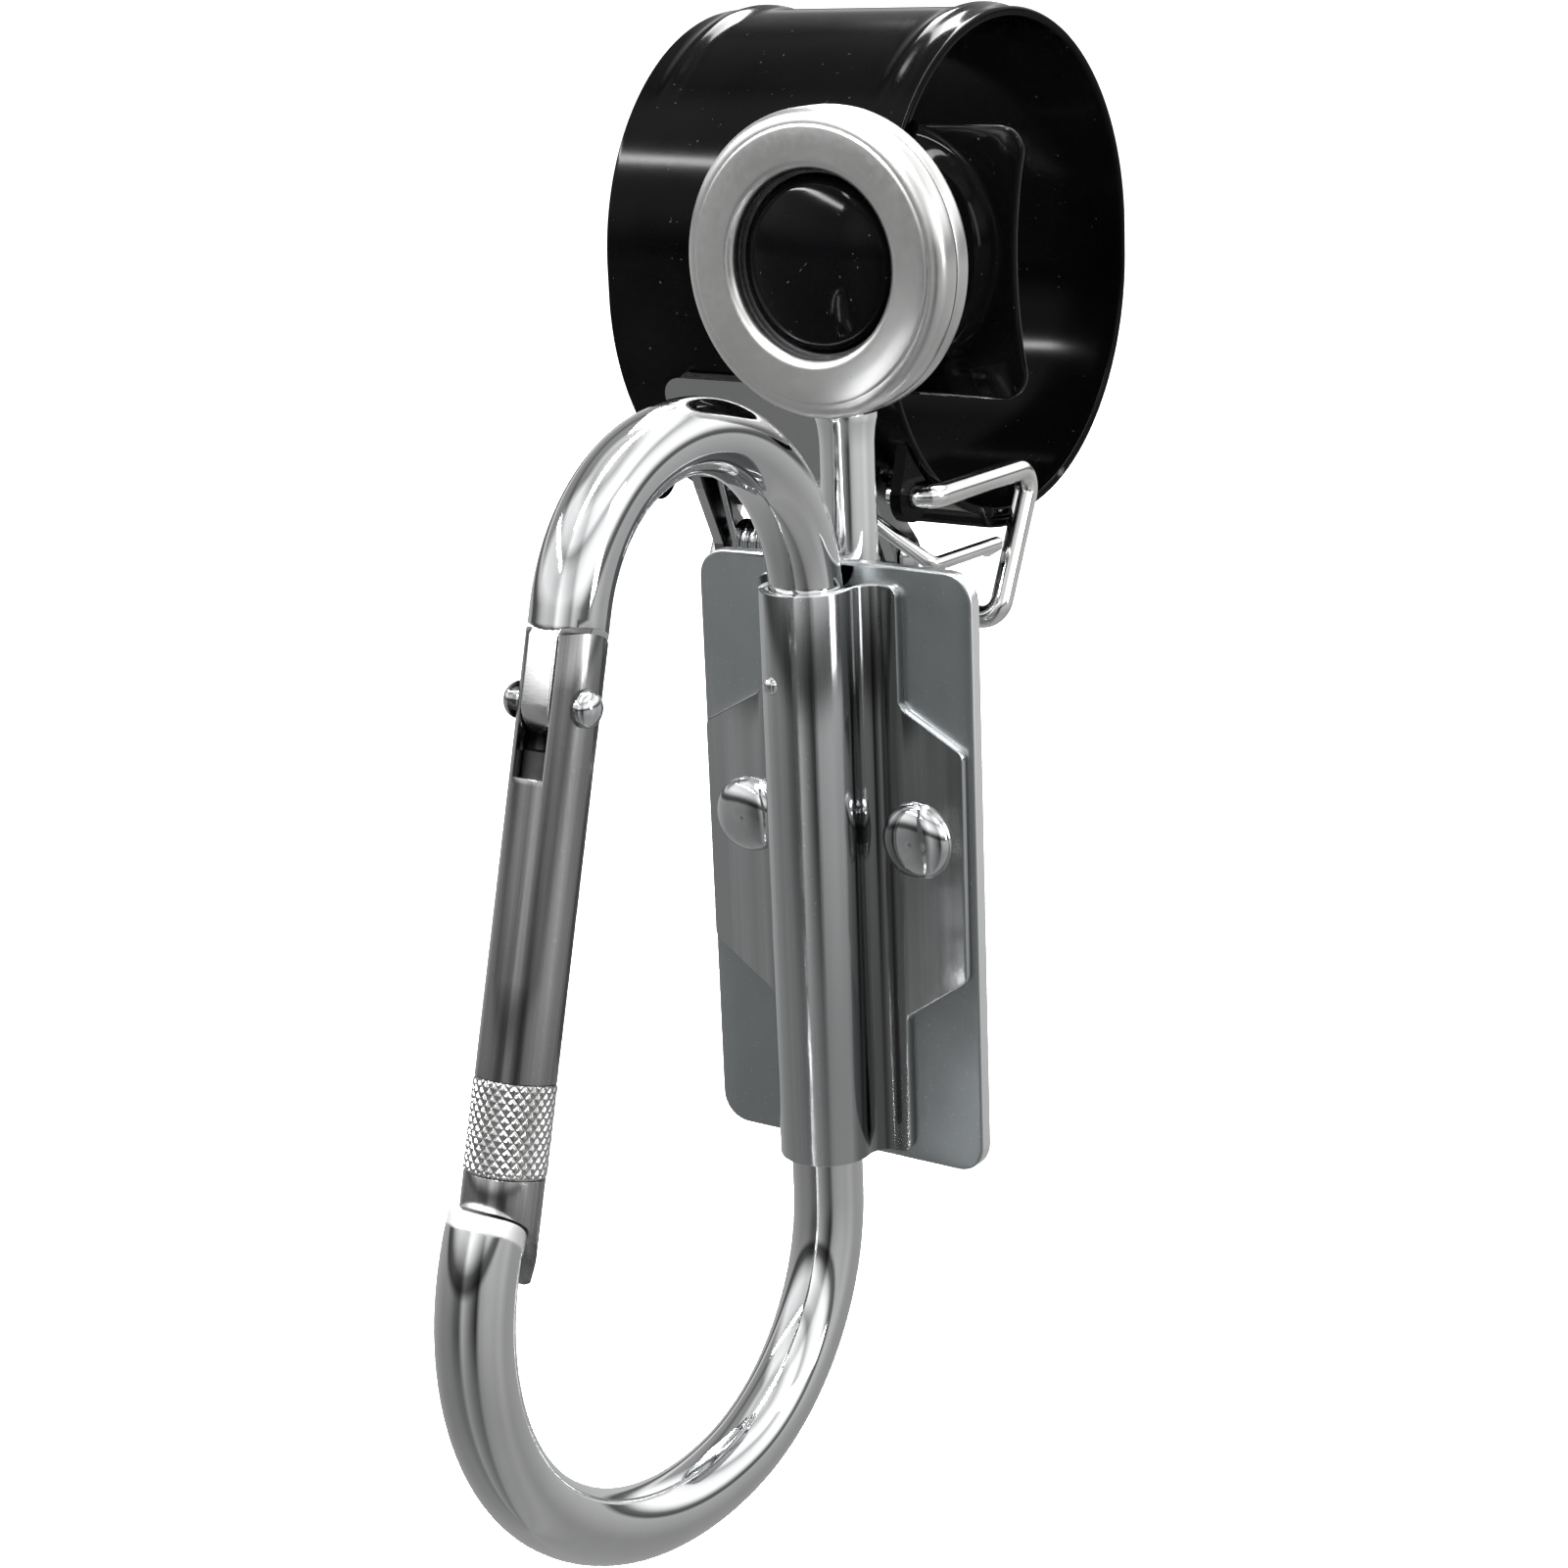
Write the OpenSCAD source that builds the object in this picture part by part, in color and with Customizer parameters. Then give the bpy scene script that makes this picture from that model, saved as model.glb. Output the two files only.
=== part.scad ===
// Belt-worn swivel tool holder: a black sprung-steel belt loop with a drawn post, a pressed ring that
// swings on the post, a stem and riveted plates under it, and a gated carabiner held in a folded strap.
// Millimetres. Origin: centre of the belt opening. +X along the belt, -Y away from the wearer, +Z up.

/* [Belt loop] */
// Width of the loop along the belt
loop_w = 40; // [30:0.5:60]
// Outside radius of the loop's top and bottom bends
loop_r = 29; // [24:0.5:36]
// Straight wall between the two bends
loop_straight = 3.4; // [0:0.2:12]
// Sheet thickness of the loop
loop_t = 1.2; // [0.8:0.1:2]

/* [Post and ring] */
// Post centre to the side of the loop's middle
hub_x = 18; // [0:0.5:20]
// Post axis above the middle of the belt opening
hub_z = 4.6; // [-5:0.1:10]
// Radius of the post that the ring turns on
post_r = 10.05; // [8:0.05:12]
// Running clearance between post and bush, on the radius
post_gap = 0.06; // [0.02:0.01:0.1]
// Outside radius of the pressed ring
ring_r = 17.35; // [15:0.05:20]
// Thickness of the ring, front face to back face
ring_t = 7.2; // [6:0.1:9]
// Inner radius of the ring's front lip
front_lip_r = 10.5; // [10.3:0.05:11]
// Inner radius of the ring's rear lip
lip_r = 11.7; // [11.2:0.05:12.5]

/* [Plates] */
// Width of the back plate
plate_w = 37.6; // [30:0.2:50]
// Height of the back plate
plate_h = 72.4; // [50:0.2:100]
// Thickness of the back plate
plate_t = 2; // [1.5:0.1:3]
// Top edge of the back plate below the ring's axis
plate_drop = 33.9; // [30:0.1:40]
// Sheet thickness of the folded strap
strap_t = 1.2; // [0.8:0.1:1.6]
// Half the strap's width where it is riveted
strap_half = 18; // [14:0.5:18.2]
// Distance of each rivet from the middle
rivet_x = 11.8; // [11:0.1:13]

/* [Carabiner] */
// Radius of the carabiner's round bar
bar_r = 4.25; // [3:0.05:5]
// How far the gate leans from the upright
gate_lean = 16; // [10:1:22]
// Width of the flat tenon that the gate hangs on
tenon_w = 3.6; // [3:0.1:4.2]
// Length of the knurled grip band
grip_len = 9.8; // [6:0.2:16]

/* [Latch and wires] */
// Width of the release lever
lever_w = 27; // [20:0.5:27]
// Wire radius of the bail
bail_r = 1.3; // [1:0.05:1.6]
// Wire radius of the keeper
keeper_r = 0.9; // [0.6:0.05:1.2]

/* [Hidden] */
hub_y = -41.2;
spine_y = -2.6;
plate_y = 2.4;
strap_y = plate_y - strap_t;
tube_out = bar_r + 0.1 + strap_t;
top_z = -37.9;
bot_z = -109.9;
loop_mid_x = -hub_x;
loop_mid_y = -hub_y;
loop_mid_z = -hub_z;
ear_yz = [18.6, -29.2];
lug_yz = [24.5, -38.0];
lever_mid = loop_mid_x + 1;
shank_y = 6.6;
eps = 0.01;

// rounded nose of the carabiner's lower end
nose_yz = [-70.9, -97];
nose_r = 9.6;

function unit(v) = v / norm(v);

// points of a rounded corner at b, between a and c
function corner(a, b, c, r, n) =
  let (u = unit(a - b), v = unit(c - b), ang = acos(u * v), t = r / tan(ang / 2))
  let (p = b + u * t, q = b + v * t, m = b + unit(u + v) * r / sin(ang / 2))
  let (a0 = atan2(p.y - m.y, p.x - m.x), a1 = atan2(q.y - m.y, q.x - m.x))
  let (d = ((a1 - a0 + 540) % 360) - 180)
  r <= 0 ? [b] : [for (i = [0:n]) m + r * [cos(a0 + d * i / n), sin(a0 + d * i / n)]];

function rounded(p, r, n = 6) =
  [for (i = [0:len(p) - 1])
    each corner(p[(i + len(p) - 1) % len(p)], p[i], p[(i + 1) % len(p)], is_list(r) ? r[i] : r, n)];

// everything below is drawn about the ring's axis, at the ring's front face
module at_hub() {
  translate([hub_x, hub_y, hub_z]) children();
}

// flat outline in Y and Z, thickened from x0 to x1
module across(x0, x1) {
  translate([x0, 0, 0]) rotate([90, 0, 90]) linear_extrude(x1 - x0) children();
}

// profile of radius and depth, turned about the ring's axis
module turned(a = 360) {
  rotate([-90, 0, 0]) rotate_extrude(angle = a, $fn = 128) children();
}

// round bar from p to q
module rod(p, q, r) {
  d = q - p;
  translate(p) rotate([0, acos(d.z / norm(d)), atan2(d.y, d.x)]) cylinder(h = norm(d), r = r, $fn = 48);
}

// bent part of a round bar in the carabiner's plane
module bar_arc(c, r_c, a0, a1, r) {
  translate([0, c.x, c.y]) rotate([90, 0, 90]) rotate([0, 0, a0])
    rotate_extrude(angle = a1 - a0, $fn = 128) translate([r_c, 0]) circle(r = r, $fn = 64);
}

// bend of a wire at b, between a and c
module bend(a, b, c, rb, r) {
  u = unit(a - b);
  v = unit(c - b);
  ang = acos(u * v);
  n = unit(cross(v, u));
  m = b + unit(u + v) * rb / sin(ang / 2);
  e1 = unit(b + u * rb / tan(ang / 2) - m);
  e2 = cross(n, e1);
  multmatrix([[e1.x, e2.x, n.x, m.x], [e1.y, e2.y, n.y, m.y], [e1.z, e2.z, n.z, m.z], [0, 0, 0, 1]])
    rotate_extrude(angle = 180 - ang, $fn = 96) translate([rb, 0]) circle(r = r, $fn = 48);
}

function trim(a, b, c, rb) = rb / tan(acos(unit(a - b) * unit(c - b)) / 2);

// wire through the points p, with every inner corner bent to radius rb
module wire(p, rb, r) {
  n = len(p);
  for (i = [0:n - 2]) {
    t0 = i == 0 ? 0 : trim(p[i - 1], p[i], p[i + 1], rb);
    t1 = i == n - 2 ? 0 : trim(p[i], p[i + 1], p[i + 2], rb);
    w = unit(p[i + 1] - p[i]);
    e0 = i == 0 ? 0 : 0.05;
    e1 = i == n - 2 ? 0 : 0.05;
    rod(p[i] + w * (t0 - e0), p[i + 1] - w * (t1 - e1), r - 0.01);
  }
  for (i = [1:n - 2]) bend(p[i - 1], p[i], p[i + 1], rb, r);
}

module disc_yz(c, r) {
  translate(c) circle(r = r, $fn = 96);
}

// ---- belt loop ----

// closed oval of outside radius r, in Y and Z
module oval(r) {
  translate([loop_mid_y, loop_mid_z + loop_straight / 2]) circle(r = r, $fn = 160);
  translate([loop_mid_y, loop_mid_z - loop_straight / 2]) circle(r = r, $fn = 160);
  translate([loop_mid_y - r, loop_mid_z - loop_straight / 2]) square([2 * r, loop_straight]);
}

// wedge about the bottom bend, a0 to a1 measured from straight down towards the back
module bottom_wedge(a0, a1) {
  c = [loop_mid_y, loop_mid_z - loop_straight / 2];
  polygon([c, c + 60 * [sin(a0), -cos(a0)], c + 60 * [sin(a1), -cos(a1)]]);
}

module bottom_ring(r0, r1) {
  difference() {
    translate([loop_mid_y, loop_mid_z - loop_straight / 2]) circle(r = r1, $fn = 160);
    translate([loop_mid_y, loop_mid_z - loop_straight / 2]) circle(r = r0, $fn = 160);
  }
}

module loop_profile() {
  difference() {
    oval(loop_r);
    oval(loop_r - loop_t);
    bottom_wedge(-13, -11.5);
  }
  intersection() {
    bottom_ring(loop_r - 0.3, loop_r + loop_t + 0.15);
    bottom_wedge(-15, -13);
  }
  intersection() {
    bottom_ring(loop_r + 0.15, loop_r + loop_t + 0.15);
    bottom_wedge(-13.2, 19);
  }
}

module loop_band() {
  color("#17181a") at_hub() {
    difference() {
      union() {
        across(loop_mid_x - loop_w / 2, loop_mid_x + loop_w / 2) loop_profile();
        for (s = [-1, 1])
          translate([loop_mid_x + s * (loop_w / 2 - 4.2), loop_mid_y, loop_mid_z + loop_straight / 2])
            rotate([90, 0, 90]) rotate([0, 0, 62]) rotate_extrude(angle = 84, $fn = 128)
              translate([loop_r - 0.55, 0]) circle(r = 1.1, $fn = 32);
      }
      rotate([-90, 0, 0]) translate([0, 0, 8]) cylinder(h = 13, r = post_r + 1.85, $fn = 96);
    }
  }
}

module post_profile() {
  difference() {
    union() {
      square([post_r, 8]);
      translate([0, 7.7]) square([12.3, 1.1]);
      translate([0, 8.7]) square([post_r + 1.25, 9.5]);
      translate([0, 17.4]) square([post_r + 4.25, 3.2]);
    }
    translate([post_r + 4.25, 16.4]) circle(r = 3, $fn = 64);
    translate([post_r - 0.33, 4.2]) square([2, 1.4]);
    translate([0, 1.6]) square([8.4, 22]);
  }
  intersection() {
    translate([0, 18.5]) circle(r = 19.4, $fn = 160);
    translate([0, -4]) square([post_r - 0.9, 8]);
  }
  translate([0, 1.9]) square([post_r, 1.5]);
  intersection() {
    translate([post_r - 1.6, 2]) circle(r = 1.6, $fn = 48);
    translate([0, 0]) square([post_r, 3]);
  }
}

module post_hat() {
  color("#101112") at_hub() {
    turned() difference() {
      post_profile();
      translate([-5, -6]) square([5, 40]);
    }
    difference() {
      translate([0, 0, -1.6]) rotate([-90, 0, 0]) translate([0, 0, 19.4])
        linear_extrude(1.2) difference() {
          union() {
            square([32.4, 25.1], center = true);
            square([26.4, 31.1], center = true);
            for (x = [-1, 1], y = [-1, 1]) translate([x * 13.2, y * 12.55]) circle(r = 3, $fn = 48);
          }
          for (s = [-1, 1]) translate([s * 115, 0]) circle(r = 100, $fn = 256);
        }
      rotate([-90, 0, 0]) translate([0, 0, 15]) cylinder(h = 8, r = 8.4, $fn = 96);
    }
  }
}

module post_welds() {
  color("#141516") at_hub() {
    rod([-13, 20.1, 13.55], [0.6, 20.1, 13.55], 1.0);
    rod([-12.9, 13.5, -12.6], [-12.9, 19.6, -12.6], 2);
    rod([-12.9, 14.3, 6], [-12.9, 19.6, 6], 2);
  }
}

module bail_ears() {
  color("#141516") at_hub() {
    for (x = [loop_mid_x + loop_w / 2 - 2.1, loop_mid_x - loop_w / 2 + 0.6]) {
      across(x, x + 1.5) difference() {
        union() {
          disc_yz(ear_yz, 3.1);
          polygon([ear_yz + [-2.95, 1], ear_yz + [-1.0, 6.8], ear_yz + [3.2, 6.2], ear_yz + [5.6, 0.2],
            ear_yz + [1.0, -2.9]]);
        }
        disc_yz(ear_yz, bail_r + 0.06);
        translate([loop_mid_y, loop_mid_z - loop_straight / 2]) circle(r = loop_r - 0.4, $fn = 160);
      }
    }
  }
}

module latch_lugs() {
  color("#141516") at_hub() {
    for (x = [lever_mid - 6, lever_mid + 4]) {
      across(x, x + 2) difference() {
        union() {
          disc_yz(lug_yz, 2.7);
          polygon([lug_yz + [-2.55, 1], lug_yz + [1.2, 8.6], lug_yz + [11, 5.2], lug_yz + [1.2, -2.5]]);
        }
        disc_yz(lug_yz, 1.27);
        translate([loop_mid_y, loop_mid_z - loop_straight / 2]) circle(r = loop_r - 0.4, $fn = 160);
      }
    }
  }
}

// pin along X from x0 to x1 with a domed head of radius hr and height hh at each end
module headed_pin(yz, x0, x1, r, hr, hh) {
  cap = (hr * hr + hh * hh) / (2 * hh);
  translate([(x0 + x1) / 2, yz.x, yz.y]) rotate([0, 90, 0]) rotate_extrude($fn = 96) {
    translate([0, (x0 - x1) / 2]) square([r, x1 - x0]);
    for (s = [0, 1]) mirror([0, s]) intersection() {
      translate([0, (x1 - x0) / 2 + hh - cap]) circle(r = cap, $fn = 128);
      translate([0, (x1 - x0) / 2]) square([hr, hh + 1]);
    }
  }
}

module latch_pin() {
  color("#b9bcc0") at_hub()
    headed_pin(lug_yz, lever_mid - lever_w / 2 - 0.2, lever_mid + lever_w / 2 + 0.2, 1.25, 2.2, 1.2);
}

// ---- ring, stem and post fittings ----

// half of the ring's section; lr is the lip's inner radius and q the radius it is rounded by
module shell_half(lr, q) {
  translate([lr + q, 0]) square([ring_r - lr - q - 1.75, 1]);
  intersection() {
    translate([ring_r - 1.75, 1.75]) difference() {
      circle(r = 1.75, $fn = 64);
      circle(r = 0.75, $fn = 64);
    }
    translate([ring_r - 1.75, 0]) square([2, 1.75]);
  }
  translate([ring_r - 1, 1.75]) square([1, ring_t / 2 - 1.85]);
  intersection() {
    translate([lr + q, q]) circle(r = q, $fn = 64);
    translate([lr, 0]) square([q + 0.01, q + 0.1]);
  }
  translate([lr, q]) square([0.9, 2.05 - q]);
}

module ring_front_shell() {
  color("#c9cbce") at_hub() difference() {
    turned() shell_half(front_lip_r, 1.2);
    translate([0, shank_y, 0]) mirror([0, 0, 1]) cylinder(h = 30, r = 3.6, $fn = 64);
  }
}

module ring_rear_shell() {
  color("#c4c6c9") at_hub() difference() {
    translate([0, ring_t, 0]) mirror([0, 1, 0]) turned() shell_half(lip_r, 0.9);
    translate([0, shank_y, 0]) mirror([0, 0, 1]) cylinder(h = 30, r = 3.6, $fn = 64);
    translate([-3.6, shank_y, -30]) cube([7.2, 6, 30]);
  }
}

module eye_bar() {
  color("#a9acb0") at_hub() difference() {
    union() {
      turned() translate([12.9, 1.4]) square([ring_r - 1.4 - 12.9, ring_t - 2.8]);
      translate([0, shank_y, -78]) cylinder(h = 63.2, r = 2.6, $fn = 64);
      translate([0, shank_y, -79]) cylinder(h = 2.4, r = 4.1, $fn = 64);
      translate([-2.6, shank_y - 2.6, -16.2]) cube([5.2, 3.6, 3.2]);
    }
    translate([-6, plate_y - 2, -82]) cube([12, plate_t + 2.3, 45.6]);
    turned() square([12.9, 12]);
  }
}

module stem_sleeve() {
  color("#d0d2d5") at_hub() difference() {
    union() {
      translate([0, shank_y, -34.6]) cylinder(h = 17, r = 3.3, $fn = 96);
      translate([0, shank_y, -19.8]) cylinder(h = 2.2, r1 = 3.3, r2 = 3.75, $fn = 96);
    }
    translate([0, shank_y, -40]) cylinder(h = 30, r = 2.7, $fn = 64);
    turned() square([ring_r + 0.25, 14]);
  }
}

module hub_bush() {
  color("#1b1c1e") at_hub() turned() difference() {
    union() {
      translate([post_r + post_gap, 2.3]) square([lip_r - 0.3 - post_r - post_gap, ring_t - 2.4]);
      translate([lip_r - 0.4, 2.3]) square([1.3, ring_t - 4.6]);
    }
    translate([post_r - 1, 4.15]) square([1.75, 1.5]);
  }
}

module snap_ring() {
  color("#8d9094") at_hub() translate([0, 4.9, 0]) rotate([-90, 0, 0]) rotate([0, 0, 105])
    rotate_extrude(angle = 330, $fn = 128) translate([post_r + 0.15, 0]) circle(r = 0.5, $fn = 32);
}

// ---- plates ----

module back_plate() {
  color("#6d7278") at_hub() rotate([90, 0, 0]) translate([0, 0, -plate_y - plate_t])
    linear_extrude(plate_t) difference() {
      translate([0, -plate_drop - plate_h / 2]) union() {
        square([plate_w, plate_h - 7], center = true);
        square([plate_w - 7, plate_h], center = true);
        for (x = [-1, 1], y = [-1, 1])
          translate([x * (plate_w / 2 - 3.5), y * (plate_h / 2 - 3.5)]) circle(r = 3.5, $fn = 64);
      }
      translate([0, -plate_drop]) circle(r = 3.6, $fn = 64);
      for (s = [-1, 1]) translate([s * rivet_x, -65.5]) circle(r = 2.45, $fn = 48);
    }
}

module rear_saddle() {
  y0 = plate_y + plate_t + 0.05;
  color("#8b8f94") at_hub() difference() {
    translate([0, 0, -75.5]) linear_extrude(16) difference() {
      union() {
        translate([-16, y0]) square([32, 1.4]);
        translate([0, shank_y]) circle(r = 4.1, $fn = 96);
        translate([-4.1, y0]) square([8.2, shank_y - y0]);
      }
      translate([0, shank_y]) circle(r = 2.75, $fn = 96);
      translate([-2.75, y0 - 1]) square([5.5, shank_y - y0 + 1]);
      translate([-6, y0 - 4]) square([12, 4]);
    }
    for (s = [-1, 1]) translate([s * rivet_x, 0, -65.5]) rotate([-90, 0, 0]) cylinder(h = 12, r = 2.45, $fn = 48);
  }
}

// strap seen from above: open tube round the bar, hollow valleys, flat wings
module strap_section() {
  rho = 2.4;
  cy = strap_y - rho;
  cx = sqrt(pow(tube_out + rho, 2) - pow(cy - spine_y, 2));
  a = atan2(cy - spine_y, cx);
  difference() {
    translate([0, spine_y]) circle(r = tube_out - 0.01, $fn = 128);
    translate([0, spine_y]) circle(r = tube_out - strap_t + 0.01, $fn = 128);
    polygon([[0, spine_y], [0, spine_y] + 12 * [cos(a + 1), sin(a + 1)], [12, spine_y + 14],
      [-12, spine_y + 14], [0, spine_y] + 12 * [-cos(a + 1), sin(a + 1)]]);
  }
  for (s = [-1, 1]) mirror([s < 0 ? 1 : 0, 0]) {
    intersection() {
      translate([cx, cy]) difference() {
        circle(r = rho + strap_t, $fn = 96);
        circle(r = rho, $fn = 96);
      }
      polygon([[cx, cy], [cx, cy] + 9 * [-cos(a), -sin(a)], [cx - 12, cy + 6], [cx - 12, cy + 12], [cx, cy + 12]]);
    }
    translate([cx - 0.1, strap_y + 0.01]) square([strap_half - cx + 0.1, strap_t - 0.02]);
  }
}

module spine_strap() {
  color("#7d8288") at_hub() difference() {
    intersection() {
      translate([0, 0, -106]) linear_extrude(72) strap_section();
      rotate([90, 0, 0]) translate([0, 0, -10]) linear_extrude(30)
        polygon(rounded([[-9.6, -35.8], [9.6, -35.8], [9.6, -50], [strap_half, -54.6], [strap_half, -81.9],
          [9.6, -87.6], [9.6, -105], [-9.6, -105], [-9.6, -87.6], [-strap_half, -81.9],
          [-strap_half, -54.6], [-9.6, -50]], 1.4, 5));
    }
    for (s = [-1, 1]) translate([s * rivet_x, -4, -65.5]) rotate([-90, 0, 0]) cylinder(h = 12, r = 2.45, $fn = 48);
    translate([0, spine_y, -46.6]) rotate([90, 0, -20]) cylinder(h = 12, r = 1.0, $fn = 32);
  }
}

module plate_rivets() {
  color("#c2c4c7") at_hub() for (s = [-1, 1]) translate([s * rivet_x, 0, -65.5]) rotate([-90, 0, 0]) {
    translate([0, 0, 0.5]) cylinder(h = 6.6, r = 2.35, $fn = 48);
    intersection() {
      translate([0, 0, strap_y + 3.3]) sphere(r = 5.7, $fn = 96);
      translate([0, 0, strap_y - 2.62]) cylinder(h = 2.5, r = 4.7, $fn = 96);
    }
    translate([0, 0, plate_y + plate_t + 1.5]) cylinder(h = 1.1, r = 3.6, $fn = 64);
  }
}

module spine_pin() {
  color("#b4b7ba") at_hub() translate([0, spine_y, -46.6]) rotate([90, 0, -20]) {
    translate([0, 0, 2.6]) cylinder(h = 3.2, r = 0.95, $fn = 32);
    translate([0, 0, 5.15]) sphere(r = 1.2, $fn = 32);
  }
}

// ---- carabiner ----

top_c = [spine_y - 22.7, top_z];
top_c2 = top_c + 3.2 * [cos(112), sin(112)];
bot_c = [spine_y - 26.9, bot_z];
bot_c2 = bot_c + (26.9 - 38.8) * [cos(-79), sin(-79)];
bot_c3 = bot_c2 + (38.8 - 31) * [cos(-131), sin(-131)];
top_end = top_c2 + 19.5 * [cos(180 - gate_lean), sin(180 - gate_lean)];
lean = [-sin(gate_lean), -cos(gate_lean)];

function at_x0(p) = [0, p.x, p.y];

gate_top = top_end + 3.3 * lean;
gate_len = 68.7;
// the gate's pin in the gate's own frame: across its axis, and down from its top
pin_yz = [-49, -38.8];
pin_local = [(pin_yz - gate_top) * [cos(gate_lean), -sin(gate_lean)], (pin_yz - gate_top) * lean];

module carabiner_frame() {
  color("#dfe1e4") at_hub() {
    difference() {
      union() {
        rod([0, spine_y, bot_z - 0.2], [0, spine_y, top_z + 0.2], bar_r - 0.01);
        bar_arc(top_c, 22.7, 0, 112, bar_r);
        bar_arc(top_c2, 19.5, 111.5, 180 - gate_lean, bar_r - 0.01);
        bar_arc(bot_c, 26.9, -79, 0, bar_r);
        bar_arc(bot_c2, 38.8, -131, -78.5, bar_r - 0.01);
        bar_arc(bot_c3, 31, -214, -130.5, bar_r - 0.02);
        rod(at_x0(top_end - 0.2 * lean), at_x0(top_end + 4.6 * lean), bar_r - 0.02);
      }
      across(-8, 8) disc_yz(pin_yz, 8);
      across(-8, 8) difference() {
        polygon([[-71.7, -92], [-71.7, -70], [-50, -70], [-50, -97.8], [-66, -97.8]]);
        disc_yz(nose_yz, nose_r);
      }
      translate([0, spine_y, -46.6]) rotate([90, 0, -20]) translate([0, 0, 2.5]) cylinder(h = 6, r = 1.0, $fn = 32);
    }
    along_gate() translate([-tenon_w / 2, 0, 0]) rotate([90, 0, 90]) linear_extrude(tenon_w)
      difference() {
        union() {
          translate(pin_local) circle(r = 3.1, $fn = 96);
          translate([pin_local.x - 3.1, -3.4]) square([5.6, pin_local.y + 3.4]);
          translate([pin_local.x - 1.1, -1.6]) square([4.2, pin_local.y + 1.6]);
        }
        translate(pin_local) circle(r = 1.36, $fn = 64);
      }
  }
}

// local frame of the gate: its axis leans, its top end is at the origin, +Z goes down the gate

module along_gate() {
  translate([0, gate_top.x, gate_top.y]) rotate([-gate_lean, 0, 0]) mirror([0, 0, 1]) children();
}

module gate_cut() {
  across(-10, 10) disc_yz(nose_yz, nose_r + 0.35);
}

module gate_tube() {
  color("#85898e") at_hub() difference() {
    along_gate() difference() {
      translate([0, 0, -1.4]) cylinder(h = gate_len, r = bar_r + 0.05, $fn = 96);
      translate([0, 0, -3]) cylinder(h = 43, r = 3.3, $fn = 64);
      translate([-tenon_w / 2 - 0.15, -8, -3]) cube([tenon_w + 0.3, 8, 17.4]);
      translate([-tenon_w / 2 - 0.15, 0, -3]) cube([tenon_w + 0.3, 8, 9.3]);
      translate([0, 0, 45.5]) difference() {
        cylinder(h = grip_len + 0.1, r = 7, $fn = 64);
        translate([0, 0, -1]) cylinder(h = grip_len + 3, r = 3.8, $fn = 64);
      }
      rotate([0, 90, 0]) translate([-pin_local.y, pin_local.x, -8]) cylinder(h = 16, r = 1.37, $fn = 64);
    }
    gate_cut();
    across(-8, 8) difference() {
      translate([pin_yz.x - 12, pin_yz.y]) square([24, 20]);
      disc_yz(pin_yz, 7.6);
    }
  }
}

module grip_band() {
  color("#c6c8cb") at_hub() along_gate() translate([0, 0, 45.55]) difference() {
    cylinder(h = grip_len, r = bar_r + 0.18, $fn = 96);
    translate([0, 0, -1]) cylinder(h = grip_len + 2, r = 3.85, $fn = 64);
  }
}

module gate_pin() {
  color("#cfd1d4") at_hub() headed_pin(pin_yz, -bar_r - 0.15, bar_r + 0.15, 1.3, 2.0, 1.5);
}

module gate_plunger() {
  color("#9a9da1") at_hub() along_gate() {
    translate([0, 0, 11.6]) cylinder(h = 3, r = 3.2, $fn = 64);
    translate([0, 0, 14]) cylinder(h = 4, r = 1.5, $fn = 48);
  }
}

module gate_spring() {
  color("#8f9397") at_hub() along_gate() {
    for (i = [0:9]) translate([0, 0, 15.07 + 2.715 * i]) rotate_extrude($fn = 64)
      translate([2.55, 0]) circle(r = 0.45, $fn = 24);
    for (i = [0:8]) rotate([0, 0, i * 180]) translate([2.55, 0, 15.07 + 2.715 * i])
      cylinder(h = 2.715, r = 0.3, $fn = 24);
  }
}

// ---- lever, keeper and bail ----

web_top = [11.9, -15.7];
web_dir = unit([5.3, -13.2]);
web_nrm = [-web_dir.y, web_dir.x];
web_end = web_top + web_dir * 14;

module release_lever() {
  color("#8e9297") at_hub() {
    difference() {
      union() {
        across(lever_mid - lever_w / 2, lever_mid + lever_w / 2)
          polygon([web_top, web_top + 1.4 * web_nrm, web_end + 1.4 * web_nrm, web_end]);
        across(lever_mid + 3.5, lever_mid + 11)
          polygon([web_end - 3 * web_dir, web_end - 3 * web_dir + 1.4 * web_nrm,
            web_end + 3.4 * web_dir + 1.4 * web_nrm, web_end + 3.4 * web_dir]);
      }
      rotate([90, 0, 0]) translate([0, 0, -40]) linear_extrude(40) difference() {
        translate([lever_mid - 20, -18.7]) square([40, 6]);
        for (s = [-1, 1]) translate([lever_mid + s * (lever_w / 2 - 3), -18.7]) circle(r = 3, $fn = 48);
        translate([lever_mid - lever_w / 2 + 3, -19]) square([lever_w - 6, 7]);
      }
      translate([lever_mid + 7.5, 12, -27.4]) rotate([-90, 0, 0]) cylinder(h = 10, r = keeper_r - 0.03, $fn = 48);
    }
    for (x = [lever_mid - lever_w / 2, lever_mid + lever_w / 2 - 1.4]) across(x, x + 1.4) difference() {
      union() {
        disc_yz(lug_yz, 2.9);
        polygon([web_end - 2 * web_dir + 0.2 * web_nrm, web_end - 2 * web_dir + 1.4 * web_nrm,
          web_end + 2.4 * web_nrm, lug_yz + [2.0, 2.1], lug_yz + [-1.9, -2.1], lug_yz + [-2.75, -0.4],
          web_end + 2 * web_dir + 0.2 * web_nrm]);
      }
      disc_yz(lug_yz, 1.31);
    }
  }
}

module keeper_wire() {
  color("#c8cacd") at_hub()
    wire([[lever_mid + 7.5, 19.6, -27.4], [lever_mid + 7.5, 14.6, -27.4], [3.9, 18.4, -37.2],
      [3.9, 33.4, -37.4], [0.9, 35.4, -39.0]], 1.4, keeper_r);
}

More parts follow.
